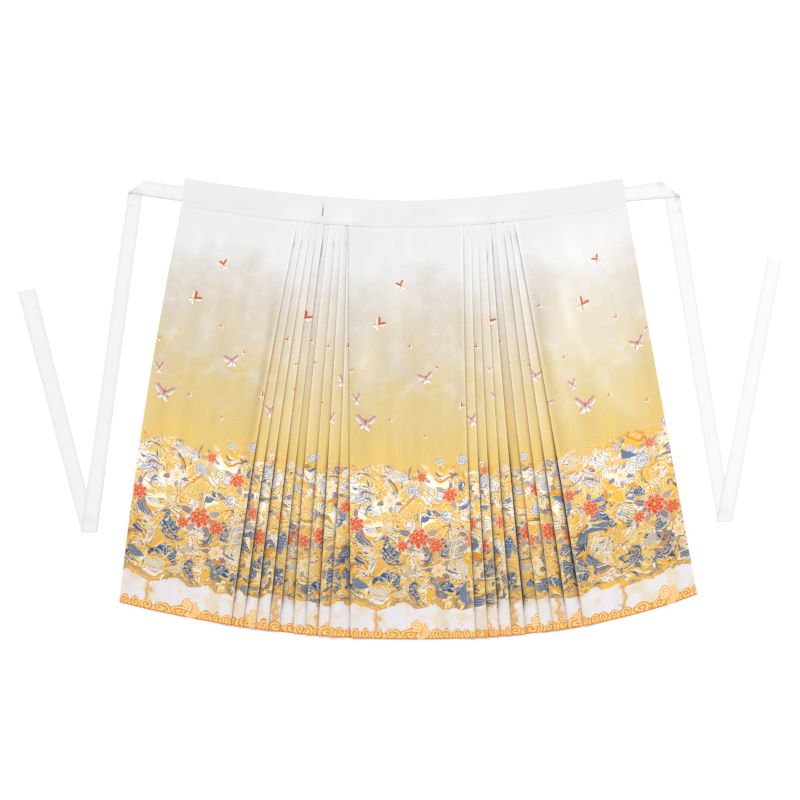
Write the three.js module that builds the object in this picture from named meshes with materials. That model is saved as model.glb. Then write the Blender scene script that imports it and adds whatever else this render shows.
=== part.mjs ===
// A horse-face skirt (mamianqun) laid out flat: two pleated widths of cloth that
// overlap in the middle, hung from one folded waistband with a tie at each end.
// Units are millimetres, +Z is up, the waistband lies toward +Y and the hem toward -Y.
import * as THREE from "three";

// Cloth
const CLOTH = 1.0; // wall of every cloth piece
const SEAM_GAP = 0.3; // space between pieces, and between layers of one pleat
const LAYER = CLOTH + SEAM_GAP; // height from one layer to the next

// Waistband: its top edge sags in a shallow curve between two higher ends
const BAND_HEIGHT = 64;
const TOP = { middleX: 10, middleY: 479.45, rise: 49, halfWidth: 501, power: 1.7 };
const BAND_INSIDE = CLOTH + 2 * SEAM_GAP; // room between the two leaves of the band
const SEAM_TUCK = 8; // how far the skirt's top edge runs up inside the band
const TIE_TUCK = 10; // how far each tie runs into the end of the band
const BAND_SLOPE = [
  // the upper leaf comes down from what is tucked in: share of the way up, and how far down
  { up: 0.45, down: 0.6 },
  { up: 0.8, down: 0.97 },
];

// Hem: lowest in the middle, rising to each side
const HEM = {
  middleX: 19,
  middleY: -530.35,
  left: { rise: 85, reach: 664, power: 2 },
  right: { rise: 103, reach: 665, power: 2.45 },
};
const SKIRT_LENGTH = 945; // from the band's seam to the hem in the middle
const UNDER_PANEL_SHORTER = 4; // the hidden panel stops short of the one over it

// Lines that run from the waist seam to the hem: x at the seam, x at the hem and
// how far the line bows sideways halfway down
const LINES = {
  leftSide: { seam: -501, hem: -644.6, bow: -10.8 },
  left0: { seam: -234.9, hem: -389.3, bow: -10.0 },
  left1: { seam: -218.8, hem: -361.0, bow: -9.2 },
  left2: { seam: -202.5, hem: -332.9, bow: -9.0 },
  left3: { seam: -189.9, hem: -303.0, bow: -5.8 },
  left4: { seam: -174.7, hem: -278.2, bow: -4.4 },
  left5: { seam: -160.9, hem: -244.4, bow: -8.8 },
  left6: { seam: -144.6, hem: -216.8, bow: -3.2 },
  left7: { seam: -131.9, hem: -187.3, bow: -0.5 },
  left8: { seam: -121.3, hem: -162.7, bow: 8.3 },
  left9: { seam: -114.4, hem: -109.8, bow: 0 },
  right0: { seam: 145.5, hem: 174.7, bow: -6.7 },
  right1: { seam: 163.9, hem: 203.0, bow: -7.1 },
  right2: { seam: 179.1, hem: 229.0, bow: -6.3 },
  right3: { seam: 195.4, hem: 257.0, bow: -4.4 },
  right4: { seam: 207.1, hem: 288.8, bow: -3.3 },
  right5: { seam: 219.5, hem: 324.9, bow: -2.8 },
  right6: { seam: 238.6, hem: 355.5, bow: 0 },
  right7: { seam: 251.3, hem: 388.8, bow: 1.6 },
  right8: { seam: 263.9, hem: 424.3, bow: 4.6 },
  rightSide: { seam: 521.5, hem: 683.7, bow: -1.0 },
};

// Pleats: in each group the two banks face each other, and the strip between them
// lies lowest. Folds are listed from the flat panel toward that middle strip.
const PLEAT_DEPTH = { waist: 26, hem: 18 }; // how far a fold reaches back under its strip
const PANEL_FOOT = 24; // run over which a flat panel comes down beside its pleats
const GROUPS = {
  left: {
    fromLeft: ["left0", "left1", "left2", "left3", "left4"],
    fromRight: ["left9", "left8", "left7", "left6", "left5"],
  },
  right: {
    fromLeft: ["right0", "right1", "right2", "right3", "right4"],
    fromRight: ["right8", "right7", "right6", "right5"],
  },
};
const FREE_EDGE_OVERHANG = 3; // the upper middle panel reaches past the pleats' last fold
const UNDER_EDGE_INSET = 4; // the hidden panel's free edge stops short of the fold over it
const EDGE_FALL = 60; // run over which cloth comes down past that hidden edge

// Rows of the widths, as shares of the way from the waist seam to the hem
const TUCK_SHARE = -SEAM_TUCK / SKIRT_LENGTH;
const ROWS = [TUCK_SHARE, 0, 0.04, 0.11, 0.19, 0.28, 0.42, 0.6, 0.8, 1];
const BAND_REST_SHARE = 0.04; // here the cloth has come down from the band's lower leaf
const BEND_MARGIN = 0.05; // a layer's bend stays this share of its width from its ends
const TURN_STEPS = 4; // facets round each turn of the cloth

// Ties: each lies in three straight stretches, folded where they meet. Both are folded
// under at the corner, so the run lies on the down stretch. At the bottom the left tie is
// folded under too and the right one over. A row is one end of a stretch, with its two
// edges as [x, y].
const TIES = {
  left: {
    overAtBottom: "down",
    band: { first: [-498.6, 510.3], second: [-500.9, 477.4] },
    corner: { first: [-588.2, 522.9], second: [-624.9, 496.5] },
    bottom: { first: [-697.5, -283.3], second: [-731.9, -283.3] },
    tip: { first: [-838.9, 276.4], second: [-878.7, 269.4] },
  },
  right: {
    overAtBottom: "up",
    band: { first: [515.8, 507.3], second: [521.3, 477.4] },
    corner: { first: [603.2, 521.8], second: [644.6, 487.9] },
    bottom: { first: [729.7, -259.3], second: [763.0, -259.3] },
    tip: { first: [845.8, 351.1], second: [878.7, 341.2] },
  },
};
const TIE_SECTIONS = 5; // beyond the place where a stretch has come down
const TIE_FALL = 35; // run over which a stretch comes down from the one it lies on
const BOTTOM_OVERLAP = 105; // length of the upper stretch that lies on the lower one at the bottom

const clamp = (value, low, high) => Math.min(Math.max(value, low), high);
const mix = (from, to, share) => from + (to - from) * share;
const steps = (from, to, count) => Array.from({ length: count }, (_, i) => mix(from, to, (i + 1) / count));

function topY(x) {
  const reach = Math.abs(x - TOP.middleX) / TOP.halfWidth;
  return TOP.middleY + TOP.rise * reach ** TOP.power;
}

function hemY(x) {
  const side = x < HEM.middleX ? HEM.left : HEM.right;
  const reach = Math.abs(x - HEM.middleX) / side.reach;
  return HEM.middleY + side.rise * reach ** side.power;
}

function lineX(line, share) {
  const straight = line.seam + (line.hem - line.seam) * share;
  const bow = share > 0 ? line.bow * 4 * share * (1 - share) : 0;
  return straight + bow;
}

// Height that the band's lower leaf gives the cloth that lies on it
function bandLift(share) {
  return LAYER * clamp(1 - share / BAND_REST_SHARE, 0, 1);
}

// One bank of knife pleats in a mirrored frame: x grows from the flat panel toward
// the middle strip, so a bank on the right is worked out with side = -1.
function bankAt(names, side, share) {
  const folds = names.map((name) => side * lineX(LINES[name], share));
  const last = folds.length - 1;
  const depth = mix(PLEAT_DEPTH.waist, PLEAT_DEPTH.hem, clamp(share, 0, 1));
  const turns = folds.map((_, k) => mix(folds[0], folds[last], k / last) - depth);
  return { folds, turns, last };
}

// How many hidden turns lie to the panel's side of x, counted smoothly
function turnsBefore(bank, x) {
  const { turns, last } = bank;
  if (x <= turns[0]) return Math.max(-1, (x - turns[0]) / PANEL_FOOT);
  if (x >= turns[last]) return last;
  const next = turns.findIndex((turn) => turn > x);
  return next - 1 + (x - turns[next - 1]) / (turns[next] - turns[next - 1]);
}

// Middle of the wall of strip k above the surface the pleats lie on; strip -1 is the panel
function stripHeight(bank, k, x) {
  return CLOTH / 2 + 2 * LAYER * (turnsBefore(bank, x) - k);
}

// Sample places along one layer, with one at the last hidden turn where the slope ends
function layerPlaces(bank, from, to, sections) {
  const edge = BEND_MARGIN * (to - from);
  const bend = clamp(bank.turns[bank.last], from + edge, to - edge);
  return [from, ...steps(from, bend, sections / 2), ...steps(bend, to, sections / 2)];
}

function turnPoints(centreX, centreZ, from, to, facing, strip) {
  const points = [];
  for (let i = 1; i < TURN_STEPS; i++) {
    const angle = mix(from, to, i / TURN_STEPS);
    const [nx, nz] = [Math.cos(angle), Math.sin(angle)];
    points.push({
      x: centreX + (nx * LAYER) / 2,
      z: centreZ + (nz * LAYER) / 2,
      nx: facing * nx,
      nz: facing * nz,
      strip,
    });
  }
  return points;
}

// The path of the cloth from the panel's own edge to the last hidden turn; bends are
// places where what lies under the panel changes its slope
function bankPath(bank, panelEdge, bends = []) {
  const { folds, turns, last } = bank;
  const path = [];
  const lay = (x, z, up, strip) => path.push({ x, z, nx: 0, nz: up, strip });
  const foot = turns[0] - PANEL_FOOT;
  const flatFrom = bends.length ? bends.at(-1) : panelEdge;
  const panelPlaces = [panelEdge, ...bends, ...steps(flatFrom, foot, 3), turns[0], folds[0]];
  for (const x of panelPlaces) lay(x, stripHeight(bank, -1, x), 1, -1);
  for (let k = 0; k <= last; k++) {
    const foldTop = stripHeight(bank, k - 1, folds[k]);
    path.push(...turnPoints(folds[k], foldTop - LAYER / 2, Math.PI / 2, -Math.PI / 2, 1, k - 1));
    const back = layerPlaces(bank, turns[k], folds[k], 2).reverse();
    for (const x of back) {
      const share = (folds[k] - x) / (folds[k] - turns[k]);
      lay(x, stripHeight(bank, k, x) + LAYER, -1, k - 1 + share);
    }
    const turnLow = stripHeight(bank, k, turns[k]);
    path.push(...turnPoints(turns[k], turnLow + LAYER / 2, Math.PI / 2, 1.5 * Math.PI, -1, k));
    if (k === last) {
      lay(turns[k], turnLow, 1, k);
    } else {
      const along = layerPlaces(bank, turns[k], folds[k + 1], 4);
      for (const x of along) lay(x, stripHeight(bank, k, x), 1, k);
    }
  }
  return path;
}

function mirrored(path) {
  return path.map((p) => ({ ...p, x: -p.x, nx: -p.nx })).reverse();
}

// Free edge of the left width's hidden panel
function underEdgeX(share) {
  return lineX(LINES.right0, share) - UNDER_EDGE_INSET;
}

function banksOf(group, share) {
  return { first: bankAt(group.fromLeft, 1, share), second: bankAt(group.fromRight, -1, share) };
}

// Top of the left width's hidden panel at x, which the right width lies on
function overUnderPanel(x, share) {
  const bank = banksOf(GROUPS.left, share).second;
  const reach = clamp(-x, -Infinity, bank.folds[0]);
  const panel = stripHeight(bank, -1, reach) + CLOTH / 2 + SEAM_GAP;
  const past = clamp((x - underEdgeX(share)) / EDGE_FALL, 0, 1);
  return panel * (1 - past);
}

// A pleated strip's end at the hem, which is cut square to the strip's own run
function stripHem(firstNames, secondNames, strip, x) {
  const names = [...firstNames, ...[...secondNames].reverse()];
  const low = clamp(Math.floor(strip), 0, names.length - 2);
  const [a, b] = [LINES[names[low]], LINES[names[low + 1]]];
  const centreHem = (a.hem + b.hem) / 2;
  const centreSeam = (a.seam + b.seam) / 2;
  const lean = (centreSeam - centreHem) / SKIRT_LENGTH;
  return hemY(centreHem) - lean * (x - centreHem);
}

// The hem at x of any point of a width; strip is -1 or past the last on the flat panels,
// and lies between two whole numbers on the layer that joins two strips
function hemOf(group, strip, x) {
  const { fromLeft, fromRight } = group;
  const strips = fromLeft.length + fromRight.length - 1;
  const at = (k) => (k < 0 || k >= strips ? hemY(x) : stripHem(fromLeft, fromRight, k, x));
  const low = Math.floor(strip);
  return mix(at(low), at(low + 1), strip - low);
}

// One row of a width: the path across it, each point with its x, z and strip
function widthPath(group, banks, edges, share, base) {
  const first = bankPath(banks.first, edges.left, edges.bends);
  const lastStrip = group.fromLeft.length + group.fromRight.length - 2;
  const second = mirrored(bankPath(banks.second, -edges.right)).map((p) => ({
    ...p,
    strip: lastStrip - p.strip,
  }));
  const middleStrip = steps(first.at(-1).x, second[0].x, 3)
    .slice(0, -1)
    .map((x) => ({ x, z: CLOTH / 2, nx: 0, nz: 1, strip: group.fromLeft.length - 1 }));
  const lift = bandLift(share);
  return [...first, ...middleStrip, ...second].map((p) => ({ ...p, z: p.z + lift + base(p.x, share) }));
}

function widthRows(group, edgesAt, base, shorter) {
  const pathAt = (share) => widthPath(group, banksOf(group, share), edgesAt(share), share, base);
  const atSeam = pathAt(0);
  const atHem = pathAt(1);
  return ROWS.map((share) => {
    const path = pathAt(share);
    return path.map((p, i) => {
      const seam = topY(atSeam[i].x) - BAND_HEIGHT;
      const hem = hemOf(group, p.strip, atHem[i].x) + shorter(p.strip);
      const y = share < 0 ? seam + SEAM_TUCK : mix(seam, hem, share);
      return { at: new THREE.Vector3(p.x, y, p.z), out: new THREE.Vector3(p.nx, 0, p.nz) };
    });
  });
}

// A closed wall from rows of middle points, each with the direction its cloth faces
function wall(rows) {
  const across = rows[0].length;
  const positions = [];
  for (const row of rows) {
    for (const side of [0.5, -0.5]) {
      for (const { at, out } of row) {
        positions.push(...at.clone().addScaledVector(out, side * CLOTH));
      }
    }
  }
  const over = (r, i) => r * 2 * across + i;
  const under = (r, i) => over(r, i) + across;
  const faces = [];
  const quad = (a, b, c, d) => faces.push(a, b, c, a, c, d);
  for (let r = 0; r + 1 < rows.length; r++) {
    for (let i = 0; i + 1 < across; i++) {
      quad(over(r, i), over(r + 1, i), over(r + 1, i + 1), over(r, i + 1));
      quad(under(r, i), under(r, i + 1), under(r + 1, i + 1), under(r + 1, i));
    }
    const end = across - 1;
    quad(over(r, 0), under(r, 0), under(r + 1, 0), over(r + 1, 0));
    quad(over(r, end), over(r + 1, end), under(r + 1, end), under(r, end));
  }
  const lastRow = rows.length - 1;
  for (let i = 0; i + 1 < across; i++) {
    quad(over(0, i), over(0, i + 1), under(0, i + 1), under(0, i));
    quad(over(lastRow, i), under(lastRow, i), under(lastRow, i + 1), over(lastRow, i + 1));
  }
  const geometry = new THREE.BufferGeometry();
  geometry.setAttribute("position", new THREE.Float32BufferAttribute(positions, 3));
  geometry.setIndex(faces);
  geometry.computeVertexNormals();
  return geometry;
}

function leftWidth() {
  const edges = (share) => ({ left: lineX(LINES.leftSide, share), right: underEdgeX(share) });
  const strips = GROUPS.left.fromLeft.length + GROUPS.left.fromRight.length - 1;
  const shorter = (strip) => (strip >= strips ? UNDER_PANEL_SHORTER : 0);
  return wall(widthRows(GROUPS.left, edges, () => 0, shorter));
}

// Where the ground under the upper middle panel changes its slope
function panelBends(share) {
  const { folds, turns } = banksOf(GROUPS.left, share).second;
  return [-folds[0], -turns[0], PANEL_FOOT - turns[0]];
}

function rightWidth() {
  const edges = (share) => ({
    left: lineX(LINES.left9, share) - FREE_EDGE_OVERHANG,
    right: lineX(LINES.rightSide, share),
    bends: panelBends(share),
  });
  return wall(widthRows(GROUPS.right, edges, overUnderPanel, () => 0));
}

// Stations along the waistband, each with the height of the cloth tucked into it
function bandStations(share) {
  const stations = [];
  const lift = bandLift(share) + CLOTH / 2;
  const add = (x, height) => stations.push({ x, height: height + lift });
  const panelAndFolds = (bank, side, base) => {
    const foot = bank.turns[0] - PANEL_FOOT;
    const places = [[foot, -1], [bank.turns[0], -1]];
    bank.folds.forEach((fold, k) => places.push([fold, k - 1]));
    const list = places.map(([x, k]) => [side * x, stripHeight(bank, k, x) + base(side * x)]);
    if (side < 0) list.reverse();
    for (const [x, height] of list) add(x, height);
  };
  const over = (x) => overUnderPanel(x, share);
  const left = banksOf(GROUPS.left, share);
  const right = banksOf(GROUPS.right, share);
  const leftSide = lineX(LINES.leftSide, share);
  const rightSide = lineX(LINES.rightSide, share);
  const firstFoot = left.first.turns[0] - PANEL_FOOT;
  for (const x of [leftSide, ...steps(leftSide, firstFoot, 4).slice(0, -1)]) add(x, CLOTH / 2);
  panelAndFolds(left.first, 1, () => 0);
  const beforePanel = left.second.folds.slice(1).map((fold, i) => [
    -fold,
    stripHeight(left.second, i, fold),
  ]);
  for (const [x, height] of beforePanel.reverse()) add(x, height);
  const panelLeft = -left.second.folds[0] - FREE_EDGE_OVERHANG;
  add(panelLeft, over(panelLeft) + CLOTH / 2);
  for (const x of panelBends(share)) add(x, over(x) + CLOTH / 2);
  const middleFrom = -left.second.turns[0] + PANEL_FOOT;
  const middleTo = right.first.turns[0] - PANEL_FOOT;
  for (const x of steps(middleFrom, middleTo, 3).slice(0, -1)) add(x, over(x) + CLOTH / 2);
  panelAndFolds(right.first, 1, over);
  panelAndFolds(right.second, -1, over);
  const lastFoot = -right.second.turns[0] + PANEL_FOOT;
  for (const x of steps(lastFoot, rightSide, 4)) add(x, CLOTH / 2);
  return stations;
}

// The band is one strip folded along its top edge, with the cloth between its leaves
function waistband() {
  const atSeam = bandStations(0);
  const atTuck = bandStations(TUCK_SHARE);
  const leafRest = CLOTH * 1.5 + BAND_INSIDE; // middle of the upper leaf where nothing is inside
  const foldRadius = (leafRest - CLOTH / 2) / 2;
  const rows = atSeam.map((seam, i) => {
    const tuck = atTuck[i];
    const leafTuck = tuck.height + SEAM_GAP + CLOTH / 2;
    const leafSeam = seam.height + SEAM_GAP + CLOTH / 2;
    const slant = (seam.x - tuck.x) / SEAM_TUCK;
    const seamY = topY(seam.x) - BAND_HEIGHT;
    const topAt = BAND_HEIGHT - CLOTH / 2 - foldRadius;
    const place = (up, z, ny, nz) => ({
      at: new THREE.Vector3(seam.x - slant * up, seamY + up, z),
      out: new THREE.Vector3(0, ny, nz),
    });
    const row = [
      place(0, leafSeam, 0, 1),
      place(SEAM_TUCK + 1, Math.max(leafSeam, leafTuck), 0, 1),
      ...BAND_SLOPE.map(({ up, down }) =>
        place(mix(SEAM_TUCK, topAt, up), mix(leafTuck, leafRest, down), 0, 1),
      ),
    ];
    for (let k = 0; k <= TURN_STEPS; k++) {
      const angle = Math.PI / 2 - (k / TURN_STEPS) * Math.PI;
      const [ny, nz] = [Math.cos(angle), Math.sin(angle)];
      row.push(place(topAt + foldRadius * ny, CLOTH / 2 + foldRadius * (1 + nz), ny, nz));
    }
    row.push(place(topAt / 2, CLOTH / 2, 0, -1), place(0, CLOTH / 2, 0, -1));
    return row;
  });
  return wall(rows);
}

// One straight stretch of a tie between two rows of its table, raised by one layer for the
// given lengths at its start and end. Each fold turns the tie over, so the two edges are put
// in the order that keeps the stretch facing up.
function tieStretch(from, to, { start = 0, end = 0, tuck = 0 }) {
  const run = new THREE.Vector2(...to.first).sub(new THREE.Vector2(...from.first));
  const across = new THREE.Vector2(...from.second).sub(new THREE.Vector2(...from.first));
  const edges = run.cross(across) > 0 ? ["first", "second"] : ["second", "first"];
  const length = run.length() + tuck;
  const back = run.clone().setLength(-tuck);
  const low = start ? start + TIE_FALL : 0;
  const high = end ? length - end - TIE_FALL : length;
  const distances = [low, ...steps(low, high, TIE_SECTIONS)];
  if (start) distances.unshift(0, start);
  if (end) distances.push(length - end, length);
  return distances.map((distance) => {
    const raised = (start && distance <= start) || (end && distance >= length - end);
    const z = CLOTH / 2 + (raised ? LAYER : 0);
    return edges.map((edge) => {
      const x = mix(from[edge][0] + back.x, to[edge][0], distance / length);
      const y = mix(from[edge][1] + back.y, to[edge][1], distance / length);
      return { at: new THREE.Vector3(x, y, z), out: new THREE.Vector3(0, 0, 1) };
    });
  });
}

// The short run is raised all along, from the end of the band to the corner.
function tieRun(from, to) {
  const rows = tieStretch(from, to, { tuck: TIE_TUCK });
  for (const row of rows) for (const point of row) point.at.z += LAYER;
  return rows;
}

const skirtCloth = new THREE.MeshStandardMaterial({ color: 0xe9d9ac, roughness: 0.55, metalness: 0 });
const bandCloth = new THREE.MeshStandardMaterial({ color: 0xededed, roughness: 0.6, metalness: 0 });
const tieCloth = new THREE.MeshStandardMaterial({ color: 0xf0f0f0, roughness: 0.5, metalness: 0 });

const skirt = new THREE.Group();

function add(name, geometry, material) {
  const mesh = new THREE.Mesh(geometry, material);
  mesh.name = name;
  skirt.add(mesh);
}

add("left_width", leftWidth(), skirtCloth);
add("right_width", rightWidth(), skirtCloth);
add("waistband", waistband(), bandCloth);

for (const [side, tie] of Object.entries(TIES)) {
  const over = tie.overAtBottom;
  const stretches = {
    run: tieRun(tie.band, tie.corner),
    down: tieStretch(tie.corner, tie.bottom, { end: over === "down" ? BOTTOM_OVERLAP : 0 }),
    up: tieStretch(tie.bottom, tie.tip, { start: over === "up" ? BOTTOM_OVERLAP : 0 }),
  };
  for (const [stretch, rows] of Object.entries(stretches)) {
    add(`${side}_tie_${stretch}`, wall(rows), tieCloth);
  }
}

export default skirt;
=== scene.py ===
"""A horse-face skirt (mamianqun) laid out flat: two printed widths of satin with
knife pleats, one folded waistband and a ribbon tie at each end."""

from functools import partial
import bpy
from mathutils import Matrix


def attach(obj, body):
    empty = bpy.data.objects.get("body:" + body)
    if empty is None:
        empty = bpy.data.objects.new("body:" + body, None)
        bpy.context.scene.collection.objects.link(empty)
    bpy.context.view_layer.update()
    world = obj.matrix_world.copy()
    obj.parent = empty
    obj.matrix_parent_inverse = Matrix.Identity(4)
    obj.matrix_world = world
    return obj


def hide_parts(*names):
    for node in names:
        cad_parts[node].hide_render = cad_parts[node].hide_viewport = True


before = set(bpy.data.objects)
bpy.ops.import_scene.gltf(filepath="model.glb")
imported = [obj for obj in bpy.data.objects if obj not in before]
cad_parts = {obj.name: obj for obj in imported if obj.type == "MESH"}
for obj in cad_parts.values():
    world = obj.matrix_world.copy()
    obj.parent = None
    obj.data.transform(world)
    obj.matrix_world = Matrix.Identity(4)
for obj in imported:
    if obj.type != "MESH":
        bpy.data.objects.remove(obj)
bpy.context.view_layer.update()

from types import SimpleNamespace

import bpy
import numpy as np
from bpy.props import FloatProperty, FloatVectorProperty, PointerProperty
from mathutils import Vector

bl_info = {
    "name": "Horse-face skirt",
    "version": (1, 0, 0),
    "blender": (4, 2, 0),
    "location": "View3D > Sidebar > Skirt",
    "description": "Dresses a flat-laid pleated wrap skirt in printed satin",
    "category": "Object",
}

MM = 0.001

# Sizes of the cut and of the pleats, in millimetres, shared with the solids
CLOTH = 1.0
SEAM_GAP = 0.3
LAYER = CLOTH + SEAM_GAP
BAND_HEIGHT = 64
BAND_INSIDE = CLOTH + 2 * SEAM_GAP
SEAM_TUCK = 8
SKIRT_LENGTH = 945
UNDER_PANEL_SHORTER = 4
PLEAT_DEPTH_WAIST = 26
PLEAT_DEPTH_HEM = 18
PANEL_FOOT = 24  # from where the panel has come down to where its first hidden turn lies
FREE_EDGE_OVERHANG = 3  # the upper middle panel's free edge, past the left group's last fold
UNDER_EDGE_INSET = 4  # the under panel's edge, inside the right group's first fold
EDGE_FALL = 60  # the run in which the upper panel comes down past that edge
BAND_REST_SHARE = 0.04  # share of the length in which the cloth comes down from the band
BAND_ENDS = (-501, 521.5)
RIBBON_WIDE = 32

# Curves of the waistband's top edge and of the hem: the lowest point of each, then how much it
# rises over what reach, and by what power
TOP_MIDDLE = (10, 479.45)
TOP_CURVE = (49, 501, 1.7)
HEM_MIDDLE = (19, -530.35)
HEM_LEFT_CURVE = (85, 664, 2)
HEM_RIGHT_CURVE = (103, 665, 2.45)

# How the cloth lies: how far back from its edge a fold rises, the bulge of its edge, the share
# of its rise that the hidden layer takes, and how far a pressed edge sinks toward its strip
FOLD_REACH = 11
FOLD_BULGE = 0.9
BACK_ROLL = 0.45
PRESSED = 1.5
# Ridges: how far under the band they reach their height, how much painted light each millimetre of
# height gives the ridge, how far they wander from a straight line, and the height of the slight waves
# between them
RIDGE_START = 25
RIDGE_GLOW = 0.2
RIDGE_WANDER = 2.5
SLIGHT_WAVE = 0.35
# The painted light on the cloth just under the band's seam: its strength and how far down it reaches
SEAM_LIGHT = 0.3
SEAM_GLOW = 5

# Lines from the waist seam to the hem: x at the seam, x at the hem, sideways bow halfway,
# and how dark the painted contact shadow is under that fold in the white, the gold and the dense part
LINES = {
    "leftSide": (-501, -644.6, -10.8, 0, 0, 0),
    "left0": (-234.9, -389.3, -10.0, 0.35, 0.9, 1.0),
    "left1": (-218.8, -361.0, -9.2, 0.35, 0.7, 1.0),
    "left2": (-202.5, -332.9, -9.0, 0.4, 0.9, 1.0),
    "left3": (-189.9, -303.0, -5.8, 0.5, 0.9, 1.1),
    "left4": (-174.7, -278.2, -4.4, 1.0, 0.5, 0.8),
    "left5": (-160.9, -244.4, -8.8, 0.35, 0.75, 0.9),
    "left6": (-144.6, -216.8, -3.2, 0.4, 0.5, 0.6),
    "left7": (-131.9, -187.3, -0.5, 0.35, 0.75, 0.9),
    "left8": (-121.3, -162.7, 8.3, 0.45, 0.45, 0.6),
    "left9": (-114.4, -109.8, 0, 0.8, 0.7, 0.8),
    "right0": (145.5, 174.7, -6.7, 0.3, 0.7, 0.7),
    "right1": (163.9, 203.0, -7.1, 0.3, 0.8, 1.0),
    "right2": (179.1, 229.0, -6.3, 0.35, 0.7, 1.0),
    "right3": (195.4, 257.0, -4.4, 0.5, 0.6, 0.9),
    "right4": (207.1, 288.8, -3.3, 1.0, 1.0, 1.2),
    "right5": (219.5, 324.9, -2.8, 0.4, 0.6, 0.6),
    "right6": (238.6, 355.5, 0, 0.8, 0.7, 0.6),
    "right7": (251.3, 388.8, 1.6, 0.7, 0.7, 0.9),
    "right8": (263.9, 424.3, 4.6, 0.9, 0.95, 1.2),
    "rightSide": (521.5, 683.7, -1.0, 0, 0, 0),
}
# Short places where a fold gapes near the waist, standing open with painted shade in the gap: line,
# share of the length, half length, strength
GAPES = [
    ("left0", 0.056, 0.008, 0.5), ("left1", 0.054, 0.008, 0.4), ("left4", 0.06, 0.03, 0.9),
    ("left6", 0.05, 0.01, 0.5), ("left8", 0.036, 0.014, 0.5), ("left9", 0.1, 0.03, 0.3),
    ("right3", 0.08, 0.01, 0.8), ("right4", 0.056, 0.025, 0.8), ("right6", 0.045, 0.02, 0.3),
    ("right7", 0.036, 0.012, 0.6), ("right8", 0.036, 0.018, 0.9),
]
# How much painted light each strip gets, by the fold that lies over it
STRIP_GLEAMS = {
    "left0": 0.15, "left1": 0.3, "left2": 0.55, "left3": 0.2, "left6": 0.4, "left7": 0.2,
    "left8": 0.35, "left9": 0.5, "right0": 0.4, "right1": 0.15, "right2": 0.4, "right3": 0.45,
    "right6": 0.35, "right7": 0.3, "right8": 0.7,
}
LEFT_GROUP = (
    ["left0", "left1", "left2", "left3", "left4"],
    ["left9", "left8", "left7", "left6", "left5"],
)
RIGHT_GROUP = (
    ["right0", "right1", "right2", "right3", "right4"],
    ["right8", "right7", "right6", "right5"],
)

# Soft ridges laid on the flat panels: from (x, y) to (x, y), half width and height
RIDGES = [
    (21, 405, 24, 330, 7, 2.2),
    (-20, 398, -28, 352, 9, 0.9),
    (78, 404, 70, 340, 12, 1.0),
    (318, 392, 352, 300, 13, 1.6),
    (392, 420, 402, 318, 18, 1.2),
    (455, 430, 486, 300, 16, 1.3),
    (373, 300, 401, 140, 14, 3.0),
    (412, 165, 440, 78, 10, 2.4),
    (382, 40, 424, -150, 17, 2.8),
    (338, 240, 388, -90, 22, 1.5),
    (440, 74, 556, -30, 18, 2.0),
    (560, 60, 600, -200, 20, 1.6),
    (-455, 408, -478, 330, 12, 1.1),
    (-405, 402, -420, 318, 14, 1.2),
    (-340, 392, -352, 322, 13, 1.0),
    (-296, 385, -320, 260, 15, 1.2),
    (-560, 120, -590, -120, 20, 1.3),
    (-430, -40, -470, -260, 22, 1.2),
    (0, 60, -14, -180, 24, 1.2),
    (96, 120, 120, -140, 20, 1.3),
]
# Broad painted gleams where a panel lies toward the light, and painted shade where it sinks beside
# its fold: from, to, half width, strength
GLEAMS = [
    (-284, 280, -350, -130, 9, -0.3),
    (311, 280, 376, -130, 9, -0.3),
    (384, 440, 408, -20, 44, 0.75),
    (466, 450, 506, -70, 62, 0.75),
    (-80, 200, -72, -10, 26, 0.5),
    (-18, 340, -6, 160, 38, 0.4),
]


def line_x(name, share):
    """Where a line lies at a share of the length from the waist seam to the hem."""
    seam, hem, bow = LINES[name][:3]
    return seam + (hem - seam) * share + max(share, 0) * bow * 4 * (1 - share)


def risen(away, curve):
    """How much a curved edge has risen at a distance from its lowest point."""
    rise, reach, power = curve
    return rise * (np.abs(away) / reach) ** power


def top_y(x):
    return TOP_MIDDLE[1] + risen(x - TOP_MIDDLE[0], TOP_CURVE)


def hem_y(x):
    away = x - HEM_MIDDLE[0]
    return HEM_MIDDLE[1] + np.where(away < 0, risen(away, HEM_LEFT_CURVE), risen(away, HEM_RIGHT_CURVE))


def bank_at(names, side, share):
    """Folds and hidden turns of one bank of pleats, x growing toward the middle strip."""
    folds = np.array([side * line_x(name, share) for name in names])
    depth = PLEAT_DEPTH_WAIST + (PLEAT_DEPTH_HEM - PLEAT_DEPTH_WAIST) * np.clip(share, 0, 1)
    return folds, np.linspace(folds[0], folds[-1], len(folds)) - depth


def strip_height(bank, k, x):
    """Height of strip k at x, over the folded layers that lie under it there."""
    turns = bank[1]
    before = np.interp(x, [turns[0] - PANEL_FOOT, *turns], [-1, *range(len(turns))])
    return CLOTH / 2 + 2 * LAYER * (before - k)


def under_edge_x(share):
    return line_x("right0", share) - UNDER_EDGE_INSET


def over_under_panel(x, share):
    """How much higher the right width lies where the left width's under panel is below it."""
    bank = bank_at(LEFT_GROUP[1], -1, share)
    panel = strip_height(bank, -1, np.minimum(-x, bank[0][0])) + CLOTH / 2 + SEAM_GAP
    return panel * (1 - np.clip((x - under_edge_x(share)) / EDGE_FALL, 0, 1))
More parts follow.
